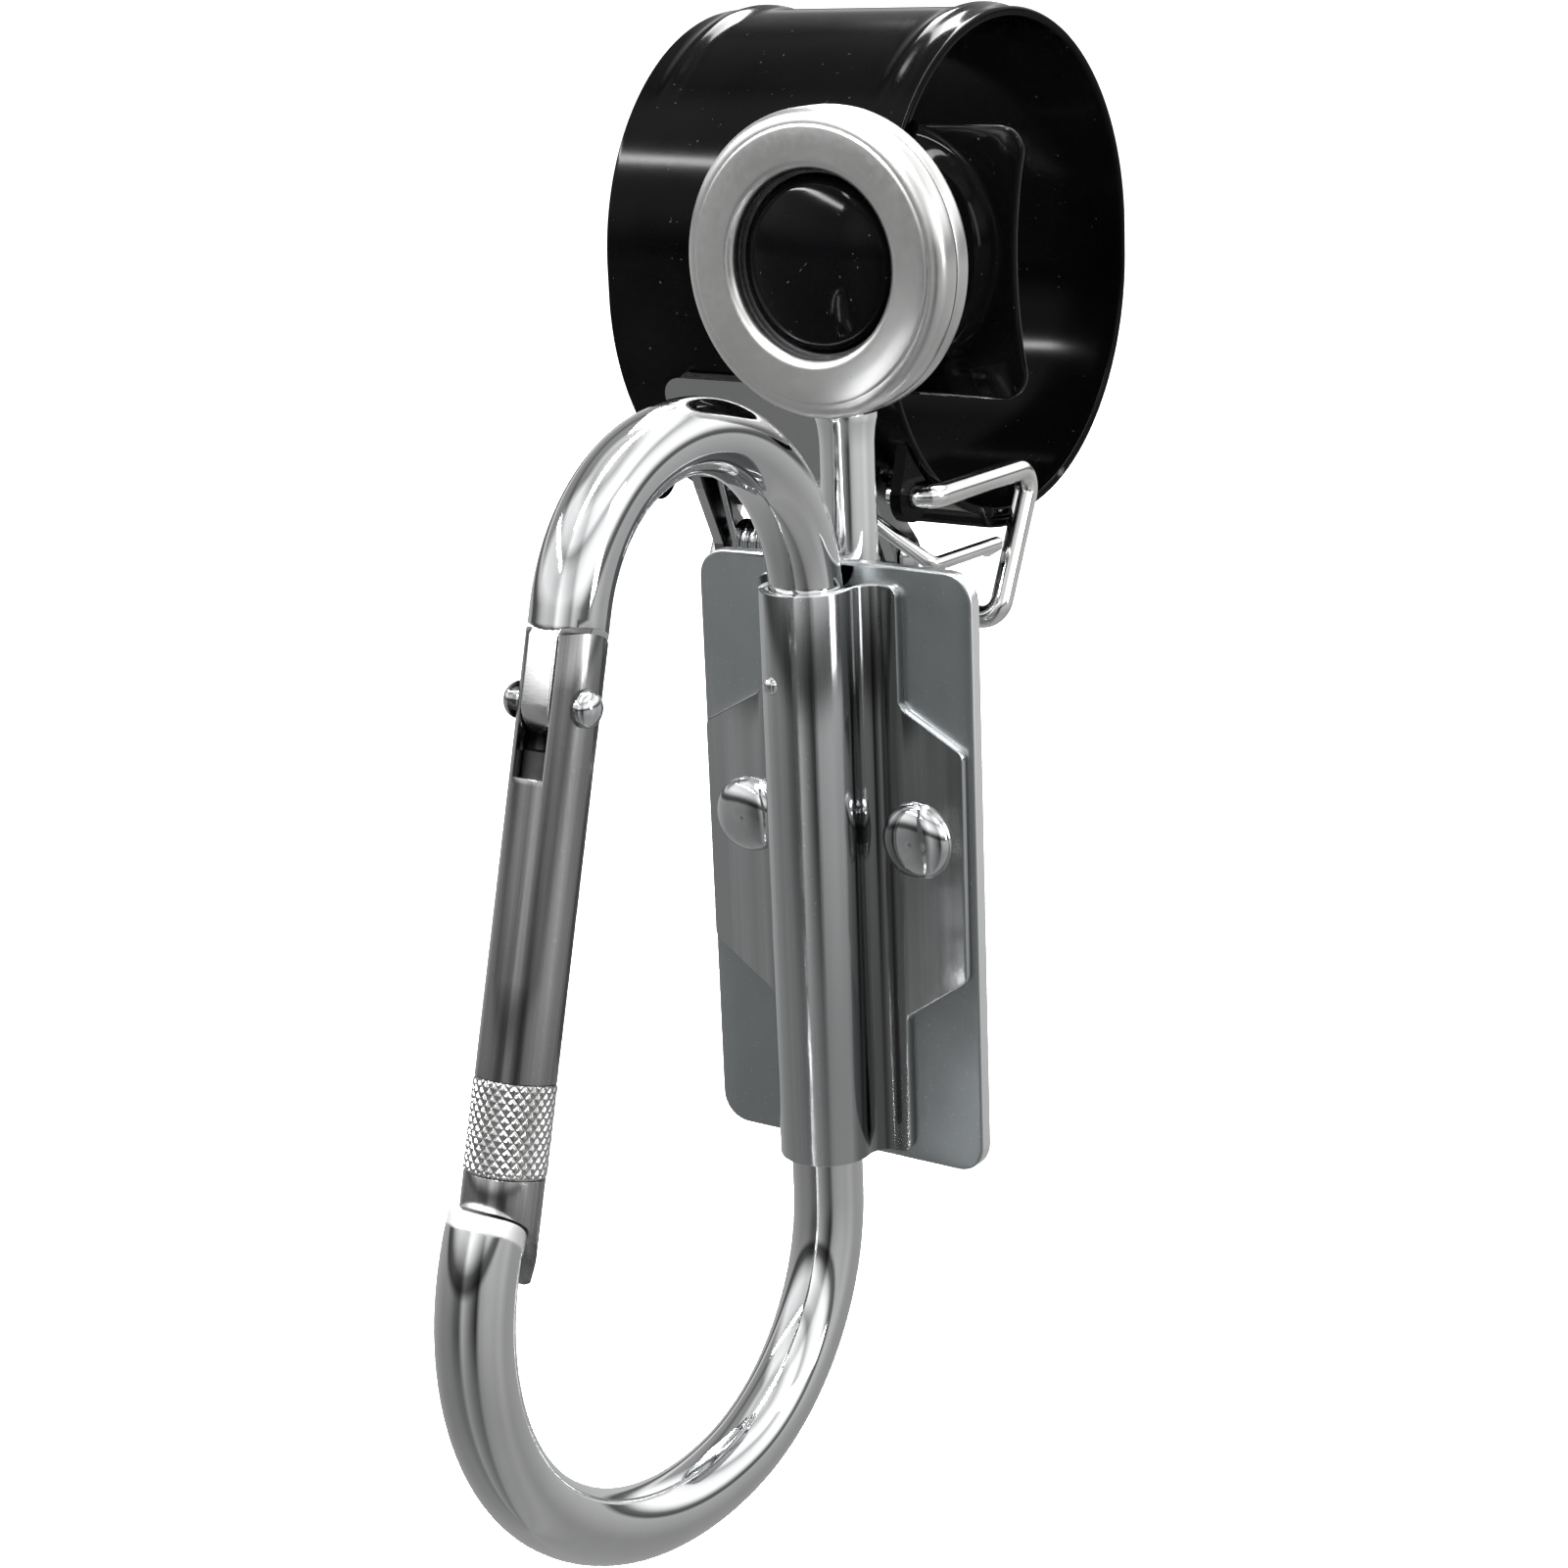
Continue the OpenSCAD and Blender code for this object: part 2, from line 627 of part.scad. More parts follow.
// coil of stacked turns round the pin, with two legs
module lever_coil(x0, s) {
  for (i = [0:3]) translate([x0 + s * 1.3 * i, lug_yz.x, lug_yz.y]) rotate([0, 90, 0])
    rotate_extrude($fn = 64) translate([2.15, 0]) circle(r = 0.6, $fn = 32);
  rod([x0, lug_yz.x, lug_yz.y - 2.15], [x0 + s * 3.9, lug_yz.x, lug_yz.y - 2.15], 0.35);
  rod([x0, lug_yz.x - 2.1, lug_yz.y - 0.3], [x0, 19.3, -28.4], 0.5);
  rod([x0 + s * 3.9, lug_yz.x + 2.1, lug_yz.y - 0.3], [x0 + s * 3.9, 30.4, -34.0], 0.5);
}

module lever_springs() {
  color("#9da0a4") at_hub() {
    lever_coil(lever_mid - 10.6, 1);
    lever_coil(lever_mid + 10.6, -1);
  }
}

module bail_wire() {
  x1 = loop_mid_x + loop_w / 2 + bail_r + 0.4;
  x0 = loop_mid_x - loop_w / 2 - bail_r - 0.4;
  y = ear_yz.x;
  z = ear_yz.y;
  color("#d3d5d8") at_hub()
    wire([[x1 - 5.6, y, z], [x1, y, z], [x1, 42.3, z - 0.1], [x1, 33.4, -46.9], [x0, 33.4, -46.9],
      [x0, 42.3, z - 0.1], [x0, y, z], [x0 + 5.6, y, z]], 2.4, bail_r);
}

loop_band();
post_hat();
post_welds();
bail_ears();
latch_lugs();
latch_pin();
ring_front_shell();
ring_rear_shell();
eye_bar();
stem_sleeve();
hub_bush();
snap_ring();
back_plate();
rear_saddle();
spine_strap();
plate_rivets();
spine_pin();
carabiner_frame();
gate_tube();
grip_band();
gate_pin();
gate_plunger();
gate_spring();
release_lever();
keeper_wire();
lever_springs();
bail_wire();
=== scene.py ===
import math
import bmesh
import bpy
from mathutils import Matrix, Vector


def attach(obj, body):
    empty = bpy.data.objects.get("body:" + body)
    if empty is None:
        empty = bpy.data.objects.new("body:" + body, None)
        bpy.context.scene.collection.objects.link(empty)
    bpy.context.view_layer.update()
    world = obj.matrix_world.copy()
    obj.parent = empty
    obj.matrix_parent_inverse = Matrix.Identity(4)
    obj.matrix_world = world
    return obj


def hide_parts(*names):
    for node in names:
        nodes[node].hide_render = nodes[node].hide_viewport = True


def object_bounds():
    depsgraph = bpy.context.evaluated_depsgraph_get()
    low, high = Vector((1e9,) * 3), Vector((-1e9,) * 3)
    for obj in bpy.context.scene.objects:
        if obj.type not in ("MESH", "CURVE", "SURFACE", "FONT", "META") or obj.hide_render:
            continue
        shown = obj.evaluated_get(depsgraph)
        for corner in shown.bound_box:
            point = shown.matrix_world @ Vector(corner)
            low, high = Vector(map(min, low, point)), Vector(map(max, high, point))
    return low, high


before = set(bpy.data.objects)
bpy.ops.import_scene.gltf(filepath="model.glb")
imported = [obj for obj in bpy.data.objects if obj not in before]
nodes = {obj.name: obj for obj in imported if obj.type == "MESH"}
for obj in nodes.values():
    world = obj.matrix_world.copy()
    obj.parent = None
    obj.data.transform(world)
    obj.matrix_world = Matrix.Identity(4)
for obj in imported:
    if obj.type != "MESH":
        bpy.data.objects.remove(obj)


def box_list(b):
    return [[float(x) for x in c] for c in b]


cad_box = box_list(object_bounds())

# ------------------------------------------------------------------ driving dimensions
# Millimetres in the hub frame: from the ring's axis at its front face, X right, Y back and Z up.
# HUB is that frame's origin in the shared frame, whose own origin is the middle of the belt loop.
HUB = (18.0, -41.2, 4.6)
LOOP_MID = (-HUB[0], -HUB[1], -HUB[2])
# belt loop: outside radius, half of the straight side, half width, sheet, gap in the lap, rounded edge
LOOP_R = 29.0
LOOP_STRAIGHT = 1.7
LOOP_HALF_W = 20.0
LOOP_T = 1.2
LAP_GAP = 0.15
LOOP_EDGE = 0.42
# raised beads over the loop's top bend: place, height and spread
BEAD_X = 15.8
BEAD_H = 0.6
BEAD_SPREAD = 1.4
# post: radius, its dome's radius and centre, rounding at the dome's rim, hollow core
POST_R = 10.05
DOME_R = 19.4
DOME_Y = 18.5
DOME_RIM = 1.5
CORE_R = 8.4
# post's flange: half width, top, bottom, corner radius, hollow of the sides, front and back
FLANGE_HALF_W = 16.2
FLANGE_TOP = 13.95
FLANGE_LOW = -17.15
FLANGE_CORNER = 3.0
FLANGE_HOLLOW = 1.2
FLANGE_Y = (19.41, 20.58)
# ring: depth of both halves together, radius and depth of the hole for the stem, inner lips
RING_DEPTH = 7.2
STEM_HOLE_R = 3.6
STEM_Y = 6.6
FRONT_LIP = (10.5, 1.2)
REAR_LIP = (11.7, 0.9)
# stem: radius, bore, top and bottom
STEM_R = 3.3
STEM_BORE = 2.72
STEM_TOP = -17.0
STEM_LOW = -34.6
# back plate: half width, top, bottom, corners, notch for the stem, front and back
PLATE_HALF_W = 18.8
PLATE_TOP = -33.9
PLATE_LOW = -106.3
PLATE_CORNER = 3.5
PLATE_NOTCH = 3.6
PLATE_Y = (2.4, 4.4)
# folded strap: sheet, front of its wings, radius of the valleys, wing and tab half widths, top, bottom
STRAP_T = 1.2
STRAP_Y = 1.2
VALLEY_R = 2.4
WING_HALF_W = 18.0
TAB_HALF_W = 9.6
STRAP_TOP = -35.8
STRAP_LOW = -105.0
# rivets: distance from the middle, height, seat of the head
RIVET_X = 11.8
RIVET_Z = -65.5
RIVET_SEAT = 1.14
# carabiner: bar radius as modelled and as the strap holds it, depth of its spine, bend centres
BAR_R = 4.24
BAR_SEAT_R = 4.25
SPINE_Y = -2.6
TOP_BEND_Z = -37.9
LOW_BEND_Z = -109.9
# gate: lean from upright, outside and bore radius, length, pin's depth and height
LEAN = math.radians(16)
GATE_R = 4.3
GATE_BORE = 3.3
GATE_LEN = 67.3
PIN = (-49.0, -38.8)
# knurled band: start and end along the gate, radius of its seat and of the valleys, depth of the cuts
KNURL_SPAN = (45.56, 55.34)
KNURL_SEAT = 3.88
KNURL_R = 4.20
KNURL_CUT = 0.2
# centre, depth and height, of the arc that rounds the lower end of the hook, and its radius
NOSE = (-70.9, -97.0)
NOSE_R = 9.6
NOSE_GAP = 0.35
# wires: radius of the bail and of its necks, radius of the keeper
BAIL_R = 1.42
BAIL_NECK = (1.29, 8)
KEEPER_R = 0.89


def hub(x, y, z):
    """hub frame in millimetres to the shared frame in metres"""
    return Vector(((x + HUB[0]) / 1000, (y + HUB[1]) / 1000, (z + HUB[2]) / 1000))


def facing(u, v, h):
    """outline seen from the front, extruded towards the back"""
    return hub(u, h, v)


def sideways(u, v, h):
    """outline of depth and height, extruded across"""
    return hub(h, u, v)


# ------------------------------------------------------------------ mesh helpers
def finish_mesh(ob, smooth):
    """welds the mesh, turns its faces outward and shades it smooth up to an angle"""
    bm = bmesh.new()
    bm.from_mesh(ob.data)
    bmesh.ops.remove_doubles(bm, verts=bm.verts, dist=1e-7)
    bmesh.ops.dissolve_degenerate(bm, edges=bm.edges, dist=1e-7)
    bmesh.ops.recalc_face_normals(bm, faces=bm.faces)
    bm.to_mesh(ob.data)
    bm.free()
    for p in ob.data.polygons:
        p.use_smooth = True
    if smooth < 180:
        ob.data.set_sharp_from_angle(angle=math.radians(smooth))


def new_object(name, mesh):
    """linked object from a (points, faces) pair"""
    verts, faces = mesh
    me = bpy.data.meshes.new(name)
    me.from_pydata([tuple(v) for v in verts], [], faces)
    me.validate()
    ob = bpy.data.objects.new(name, me)
    bpy.context.scene.collection.objects.link(ob)
    return ob


def piece(name, mesh, finish, body, smooth=35.0):
    ob = new_object(name, mesh)
    finish_mesh(ob, smooth)
    ob.data.materials.append(finish)
    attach(ob, body)
    return ob


def bake(ob, smooth):
    """applies the modifiers to the mesh"""
    dg = bpy.context.evaluated_depsgraph_get()
    me = bpy.data.meshes.new_from_object(ob.evaluated_get(dg))
    ob.modifiers.clear()
    old = ob.data
    ob.data = me
    bpy.data.meshes.remove(old)
    finish_mesh(ob, smooth)


def cut(ob, tool_meshes, operation="DIFFERENCE", smooth=35.0):
    """boolean with closed meshes that are thrown away afterwards"""
    tools = [new_object("tool", mesh) for mesh in tool_meshes]
    for tool in tools:
        finish_mesh(tool, 180)
        m = ob.modifiers.new("cut", "BOOLEAN")
        m.operation = operation
        m.solver = "EXACT"
        m.object = tool
    bpy.context.view_layer.update()
    bake(ob, smooth)
    for tool in tools:
        me = tool.data
        bpy.data.objects.remove(tool)
        bpy.data.meshes.remove(me)


def bevel(ob, width, segments=2, angle=40.0, smooth=60.0):
    m = ob.modifiers.new("bevel", "BEVEL")
    m.width = width / 1000
    m.segments = segments
    m.limit_method = "ANGLE"
    m.angle_limit = math.radians(angle)
    m.use_clamp_overlap = True
    bpy.context.view_layer.update()
    bake(ob, smooth)


def grid(rows, close_u=False, close_v=False, cap=False):
    """points and faces of a net whose rows follow each other"""
    n, m = len(rows), len(rows[0])
    verts = [v for r in rows for v in r]
    faces = []
    for i in range(n if close_u else n - 1):
        for j in range(m if close_v else m - 1):
            a, b = i, (i + 1) % n
            c, d = j, (j + 1) % m
            faces.append((a * m + c, b * m + c, b * m + d, a * m + d))
    if cap:
        faces.append(tuple(range(m)))
        faces.append(tuple((n - 1) * m + j for j in range(m)))
    return verts, faces


def polar(centre, radius, turn):
    """point at a turn, in degrees, about a centre"""
    a = math.radians(turn)
    return centre[0] + radius * math.cos(a), centre[1] + radius * math.sin(a)


def arc(centre, radius, start, end, n):
    return [polar(centre, radius, start + (end - start) * i / n) for i in range(n + 1)]


def disc(centre, radius, n=96):
    return [polar(centre, radius, 360 * i / n) for i in range(n)]


def lathe(profile, place, n, closed=True):
    """profile of (radius, height) turned about an axis; place(u, v, h) gives the point"""
    rows = []
    for i in range(n):
        c, s = polar((0, 0), 1, 360 * i / n)
        rows.append([place(r * c, r * s, h) for r, h in profile])
    return grid(rows, close_u=True, close_v=closed)


def prism(outline, place, h0, h1):
    """closed outline extruded between two heights; place(u, v, h) gives the point"""
    n = len(outline)
    verts = [place(u, v, h0) for u, v in outline] + [place(u, v, h1) for u, v in outline]
    faces = [tuple(range(n)), tuple(range(2 * n - 1, n - 1, -1))]
    faces += [(i, (i + 1) % n, n + (i + 1) % n, n + i) for i in range(n)]
    return verts, faces


def corner(a, b, c, radius):
    """where a circle touches the two sides of the corner at b, and its centre"""
    u, v = (a - b).normalized(), (c - b).normalized()
    half = math.acos(max(-1, min(1, u.dot(v)))) / 2
    reach = radius / math.tan(half)
    middle = b + (u + v).normalized() * radius / math.sin(half)
    return b + u * reach, b + v * reach, middle


def round_poly(points, radius, n):
    """polygon with rounded corners, n steps to each"""
    out = []
    p = [Vector(x) for x in points]
    for i, b in enumerate(p):
        start, end, mid = corner(p[i - 1], b, p[(i + 1) % len(p)], radius)
        a0 = math.atan2(start.y - mid.y, start.x - mid.x)
        a1 = math.atan2(end.y - mid.y, end.x - mid.x)
        turn = (a1 - a0 + math.pi) % (2 * math.pi) - math.pi
        out += arc(mid, radius, math.degrees(a0), math.degrees(a0 + turn), n)
    return out


def wire_path(points, radius, n):
    """path in space with its corners bent to a radius, n steps to each"""
    p = [Vector(x) for x in points]
    out = [p[0]]
    for a, b, c in zip(p, p[1:], p[2:]):
        start, end, mid = corner(a, b, c, radius)
        u, v = (start - mid).normalized(), (end - mid).normalized()
        out += [mid + u.slerp(v, j / n) * radius for j in range(n + 1)]
    out.append(p[-1])
    return out


def sweep(path, radius, n, neck=None):
    """round bar along a list of points; neck = (radius, count) thins the points at both ends"""
    pts = [Vector(p) for p in path]
    last = len(pts) - 1
    tangents = [(pts[min(last, i + 1)] - pts[max(0, i - 1)]).normalized() for i in range(last + 1)]
    radii = [radius] * len(pts)
    if neck:
        for i in range(neck[1]):
            radii[i] = radii[last - i] = neck[0]
    previous = tangents[0]
    across = Vector((1, 0, 0)) if abs(previous.x) < 0.8 else Vector((0, 1, 0))
    across = (across - previous * across.dot(previous)).normalized()
    ring = disc((0, 0), 1, n)
    rows = []
    for p, tangent, r in zip(pts, tangents, radii):
        across = (previous.rotation_difference(tangent) @ across).normalized()
        previous = tangent
        third = tangent.cross(across)
        rows.append([hub(*(p + across * r * c + third * r * s)) for c, s in ring])
    return grid(rows, close_v=True, cap=True)


def smoothstep(a, b, x):
    t = max(0.0, min(1.0, (x - a) / (b - a)))
    return t * t * (3 - 2 * t)


# ------------------------------------------------------------------ materials
class Nodes:
    """short names for building a shader's node tree"""

    def __init__(self, tree):
        self.tree = tree

    def node(self, kind, **settings):
        nd = self.tree.nodes.new("ShaderNode" + kind)
        for key, value in settings.items():
            setattr(nd, key, value)
        return nd

    def wire(self, value, socket):
        """sets a socket to a number or colour, or connects an output to it"""
        if isinstance(value, (int, float)):
            socket.default_value = value
        elif isinstance(value, tuple):
            socket.default_value = (*value, 1)
        else:
            self.tree.links.new(value, socket)

    def calc(self, operation, *values):
        nd = self.node("Math", operation=operation)
        for value, socket in zip(values, nd.inputs):
            self.wire(value, socket)
        return nd.outputs[0]

    def product(self, *values):
        out = values[0]
        for value in values[1:]:
            out = self.calc("MULTIPLY", out, value)
        return out

    def split(self, vector):
        nd = self.node("SeparateXYZ")
        self.wire(vector, nd.inputs[0])
        return nd.outputs

    def ramp(self, fac, stops):
        """piecewise straight curve through (position, value) stops"""
        nd = self.node("ValToRGB")
        elements = nd.color_ramp.elements
        elements.remove(elements[-1])
        elements[0].position = stops[0][0]
        for pos, _ in stops[1:]:
            elements.new(pos)
        for element, (_, value) in zip(elements, stops):
            element.color = (value, value, value, 1)
        self.wire(fac, nd.inputs["Fac"])
        return nd.outputs["Color"]

    def mix(self, fac, a, b):
        nd = self.node("Mix", data_type="RGBA")
        self.wire(fac, nd.inputs[0])
        self.wire(a, nd.inputs[6])
        self.wire(b, nd.inputs[7])
        return nd.outputs[2]


class Surface(Nodes):
    """material on a principled shader"""

    def __init__(self, name):
        self.material = bpy.data.materials.new(name)
        self.material.use_nodes = True
        super().__init__(self.material.node_tree)
        self.shader = self.tree.nodes["Principled BSDF"].inputs

    def coords(self, scale=(1, 1, 1), lean=0.0):
        """object coordinates, turned about X by lean and then stretched"""
        out = self.node("TexCoord").outputs["Object"]
        for key, value in (("Rotation", (lean, 0, 0)), ("Scale", scale)):
            mapping = self.node("Mapping")
            mapping.inputs[key].default_value = value
            self.wire(out, mapping.inputs["Vector"])
            out = mapping.outputs["Vector"]
        return out

    def noise(self, vector, scale, detail=3.0, rough=0.55):
        nd = self.node("TexNoise")
        nd.inputs["Scale"].default_value = scale
        nd.inputs["Detail"].default_value = detail
        nd.inputs["Roughness"].default_value = rough
        self.wire(vector, nd.inputs["Vector"])
        return nd.outputs["Fac"]

    def finish(self, colour, rough, height, bump):
        """connects the shader; bump is its strength and distance in metres"""
        self.wire(colour, self.shader["Base Color"])
        self.wire(rough, self.shader["Roughness"])
        nd = self.node("Bump")
        nd.inputs["Strength"].default_value = bump[0]
        nd.inputs["Distance"].default_value = bump[1]
        self.wire(height, nd.inputs["Height"])
        self.wire(nd.outputs["Normal"], self.shader["Normal"])
        return self.material


def shaded(colour, factor):
    return tuple(min(1, c * factor) for c in colour)


def painted_highlight_where(surface, axis, stops, tone):
    """painted highlight: colour pushed towards near white on faces chosen by how far they look along an axis
    """
    normal = surface.split(surface.node("TexCoord").outputs["Normal"])[axis]
    # the near white mixed in here is a painted highlight
    return surface.mix(surface.ramp(surface.calc("ABSOLUTE", normal), stops), tone, (0.95, 0.955, 0.96))


# Details that metal() takes in a list. Each is given the surface, its coordinates, its colour,
# and the tone and roughness so far, and gives the last two back.
def painted_rim_highlight(surface, base, colour, tone, rough):
    """painted highlight on the rim of a sheet whose broad faces look along Y"""
    return painted_highlight_where(surface, 1, [(0.25, 1.0), (0.75, 0.0)], tone), rough


def painted_end_highlight(surface, base, colour, tone, rough):
    """painted highlight on the cut ends, which look along Z"""
    return painted_highlight_where(surface, 2, [(0.25, 0.0), (0.6, 1.0)], tone), rough


def painted_valley_shade(surface, base, colour, tone, rough):
    """painted shade: darker colour in the valleys on both sides of the strap's tube"""
    x = surface.calc("SUBTRACT", surface.split(base)[0], HUB[0] / 1000)
    across = surface.calc("MULTIPLY", surface.calc("ABSOLUTE", x), 50.0)
    valley = surface.ramp(across, [(0.245, 0.0), (0.285, 0.95), (0.42, 0.8), (0.50, 0.0)])
    # the valleys' colour is mixed towards a fifth of the metal's: painted shade
    return surface.mix(valley, tone, shaded(colour, 0.2)), rough


def ground_nose(surface, base, colour, tone, rough):
    """ground band round the rounded end of the hook"""
    offset = surface.node("VectorMath", operation="SUBTRACT")
    surface.wire(base, offset.inputs[0])
    offset.inputs[1].default_value = hub(0, *NOSE)
    _, back, up = surface.split(offset.outputs[0])
    reach = surface.calc("SQRT", surface.calc("ADD", surface.product(back, back), surface.product(up, up)))
    reach = surface.calc("ADD", reach, surface.product(surface.noise(base, 420.0), 0.0006))
    near = surface.product(surface.calc("GREATER_THAN", up, 0.0), surface.calc("LESS_THAN", back, 0.016))
    band = surface.product(near, surface.ramp(surface.product(reach, 100.0), [(0.80, 0.0), (0.84, 1.0)]))
    tone = surface.mix(band, tone, (0.98, 0.98, 0.98))
    return tone, surface.calc("ADD", rough, surface.product(band, 0.42))


def metal(name, colour, dark, rough, vary, grain=(1, 1, 1), grain_scale=1.0, grain_bump=0.15, blotch=40.0,
          speck=0.0, lean=0.0, streak=0.0, details=()):
    """bare metal: tone blotches, fine grain stretched along one axis, light specks and dark streaks"""
    s = Surface(name)
    s.shader["Metallic"].default_value = 1.0
    base = s.coords()
    tone = s.mix(s.ramp(s.noise(base, blotch, 4.0), [(0.35, 0.0), (0.65, 1.0)]), dark, colour)
    fine = s.noise(s.coords(grain, lean), 900.0 * grain_scale, 3.0, 0.6)
    roughness = s.calc("ADD", s.product(fine, vary), rough - vary * 0.5)
    if speck > 0:
        spots = s.ramp(s.noise(base, 2600.0, 2.0), [(0.66, 0.0), (0.72, 1.0)])
        tone = s.mix(spots, tone, shaded(colour, 1 + speck))
    if streak > 0:
        lines = s.noise(s.coords((1, 1, 0.01), lean), 420.0, 3.0, 0.7)
        tone = s.mix(s.ramp(lines, [(0.38, 0.0), (0.62, 1.0)]), shaded(colour, 1 - streak), tone)
    for detail in details:
        tone, roughness = detail(s, base, colour, tone, roughness)
    return s.finish(tone, roughness, fine, (grain_bump, 0.00004))


def black_paint(name, rough, wear):
    """gloss paint with dust and, where the mesh is sharper than wear, rubbed edges"""
    s = Surface(name)
    base = s.coords()
    paint = s.mix(s.ramp(s.noise(base, 55.0, 4.0), [(0.3, 0.0), (0.7, 1.0)]),
                  (0.0005, 0.0005, 0.0006), (0.0016, 0.0015, 0.0017))
    dust = s.ramp(s.noise(base, 1500.0, 2.0), [(0.735, 0.0), (0.76, 1.0)])
    paint = s.mix(s.product(dust, 0.25), paint, (0.12, 0.12, 0.12))
    sharp = s.ramp(s.node("NewGeometry").outputs["Pointiness"], [(wear[0], 0.0), (wear[1], 1.0)])
    rubbed = s.product(sharp, s.ramp(s.noise(base, 260.0), [(0.42, 0.15), (0.6, 1.0)]))
    s.wire(rubbed, s.shader["Metallic"])
    s.shader["Specular IOR Level"].default_value = 0.06
    roughness = s.calc("ADD", s.product(s.noise(base, 90.0, 5.0), 0.10), rough - 0.05)
    return s.finish(s.mix(rubbed, paint, (0.34, 0.33, 0.32)), roughness, s.noise(base, 420.0, 2.0),
                    (0.05, 0.00005))


def black_nylon(name):
    s = Surface(name)
    base = s.coords()
    tone = s.mix(s.noise(base, 150.0), (0.006, 0.006, 0.007), (0.018, 0.018, 0.02))
    roughness = s.calc("ADD", s.product(s.noise(base, 300.0), 0.15), 0.38)
    return s.finish(tone, roughness, s.noise(base, 900.0), (0.1, 0.00005))


FINISH = {
    "black": black_paint("gloss_black_paint", 0.13, (0.56, 0.62)),
    "black_post": black_paint("gloss_black_post", 0.09, (0.62, 0.68)),
    "black_small": black_paint("gloss_black_fittings", 0.12, (0.95, 0.99)),
    "nylon": black_nylon("black_bush_nylon"),
    "satin": metal("satin_ring_steel", (0.73, 0.725, 0.72), (0.65, 0.645, 0.64), 0.30, 0.10,
                   grain_scale=1.6, grain_bump=0.12, blotch=90.0),
    "bright": metal("polished_bar_steel", (0.69, 0.695, 0.70), (0.63, 0.635, 0.64), 0.055, 0.05,
                    grain_bump=0.03, blotch=60.0, details=(ground_nose,)),
    "stem": metal("bright_stem_steel", (0.95, 0.955, 0.96), (0.86, 0.87, 0.88), 0.10, 0.07,
                  (6, 6, 0.25), 1.2, 0.10, 60.0),
    # the plate's rims carry a painted highlight
    "plate": metal("polished_plate_steel", (0.43, 0.455, 0.465), (0.39, 0.415, 0.425), 0.31, 0.08,
                   (3, 3, 0.12), 1.3, 0.10, 70.0, speck=0.35, details=(painted_rim_highlight,)),
    # the strap has painted shade in its valleys and a painted highlight on its cut ends
    "strap": metal("polished_strap_steel", (0.66, 0.675, 0.68), (0.58, 0.595, 0.60), 0.11, 0.06,
                   (5, 5, 0.10), 1.3, 0.12, 60.0, speck=0.25, streak=0.22,
                   details=(painted_valley_shade, painted_end_highlight)),
    "gate": metal("drawn_gate_steel", (0.44, 0.445, 0.44), (0.36, 0.365, 0.36), 0.20, 0.10,
                  (8, 2, 0.10), 1.2, 0.22, 50.0, speck=0.15, lean=LEAN, streak=0.45),
    "grip": metal("knurled_steel", (0.56, 0.56, 0.555), (0.44, 0.44, 0.435), 0.22, 0.12,
                  grain_scale=1.5, grain_bump=0.10, blotch=120.0),
    "rivet": metal("polished_rivet_steel", (0.72, 0.725, 0.73), (0.60, 0.61, 0.62), 0.07, 0.08,
                   grain_scale=1.5, grain_bump=0.10, blotch=260.0),
    "spring": metal("spring_wire_steel", (0.66, 0.67, 0.68), (0.52, 0.53, 0.54), 0.18, 0.08,
                    grain_scale=1.2, grain_bump=0.08, blotch=150.0),
    "wire": metal("bright_wire_steel", (0.88, 0.88, 0.87), (0.78, 0.78, 0.77), 0.13, 0.08,
                  grain_scale=1.2, grain_bump=0.08, blotch=120.0),
    # the lever's cut ends carry a painted highlight
    "lever": metal("pressed_lever_steel", (0.28, 0.285, 0.29), (0.22, 0.225, 0.23), 0.17, 0.08,
                   (3, 3, 0.12), 1.2, 0.1, 70.0, speck=0.2, details=(painted_end_highlight,)),
    # the plunger is darkened to stand for the shade inside the gate's slot: painted shade
    "dark": metal("plunger_painted_shade_steel", (0.05, 0.05, 0.052), (0.03, 0.03, 0.031), 0.45, 0.2,
                  grain_bump=0.2, blotch=150.0),
    "tenon": metal("ground_tenon_steel", (0.80, 0.80, 0.80), (0.62, 0.62, 0.62), 0.26, 0.12,
                   (1, 6, 6), 1.0, 0.2, 150.0),
}

NODE_FINISH = dict(
    post_welds="black_small", bail_ears="black_small", latch_lugs="black_small", latch_pin="rivet",
    loop_band="black", post_hat="black_post", snap_ring="spring", hub_bush="nylon",
    ring_front_shell="satin", ring_rear_shell="satin", eye_bar="stem", stem_sleeve="stem",
    back_plate="plate", rear_saddle="plate", spine_strap="strap", plate_rivets="rivet",
    spine_pin="rivet", carabiner_frame="bright", gate_tube="gate", grip_band="grip",
    gate_pin="rivet", gate_plunger="dark", gate_spring="spring", release_lever="lever",
    lever_springs="spring", keeper_wire="wire", bail_wire="wire")
for node_name, finish_name in NODE_FINISH.items():
    slots = nodes[node_name].data.materials
    slots.clear()
    slots.append(FINISH[finish_name])


# ------------------------------------------------------------------ belt loop
def loop_point(turn, radius):
    """depth and height on the oval; turn is in degrees from straight down, towards the back"""
    a = math.radians(turn)
    straight = math.copysign(LOOP_STRAIGHT, -math.cos(a))
    return LOOP_MID[1] + radius * math.sin(a), LOOP_MID[2] + straight - radius * math.cos(a)


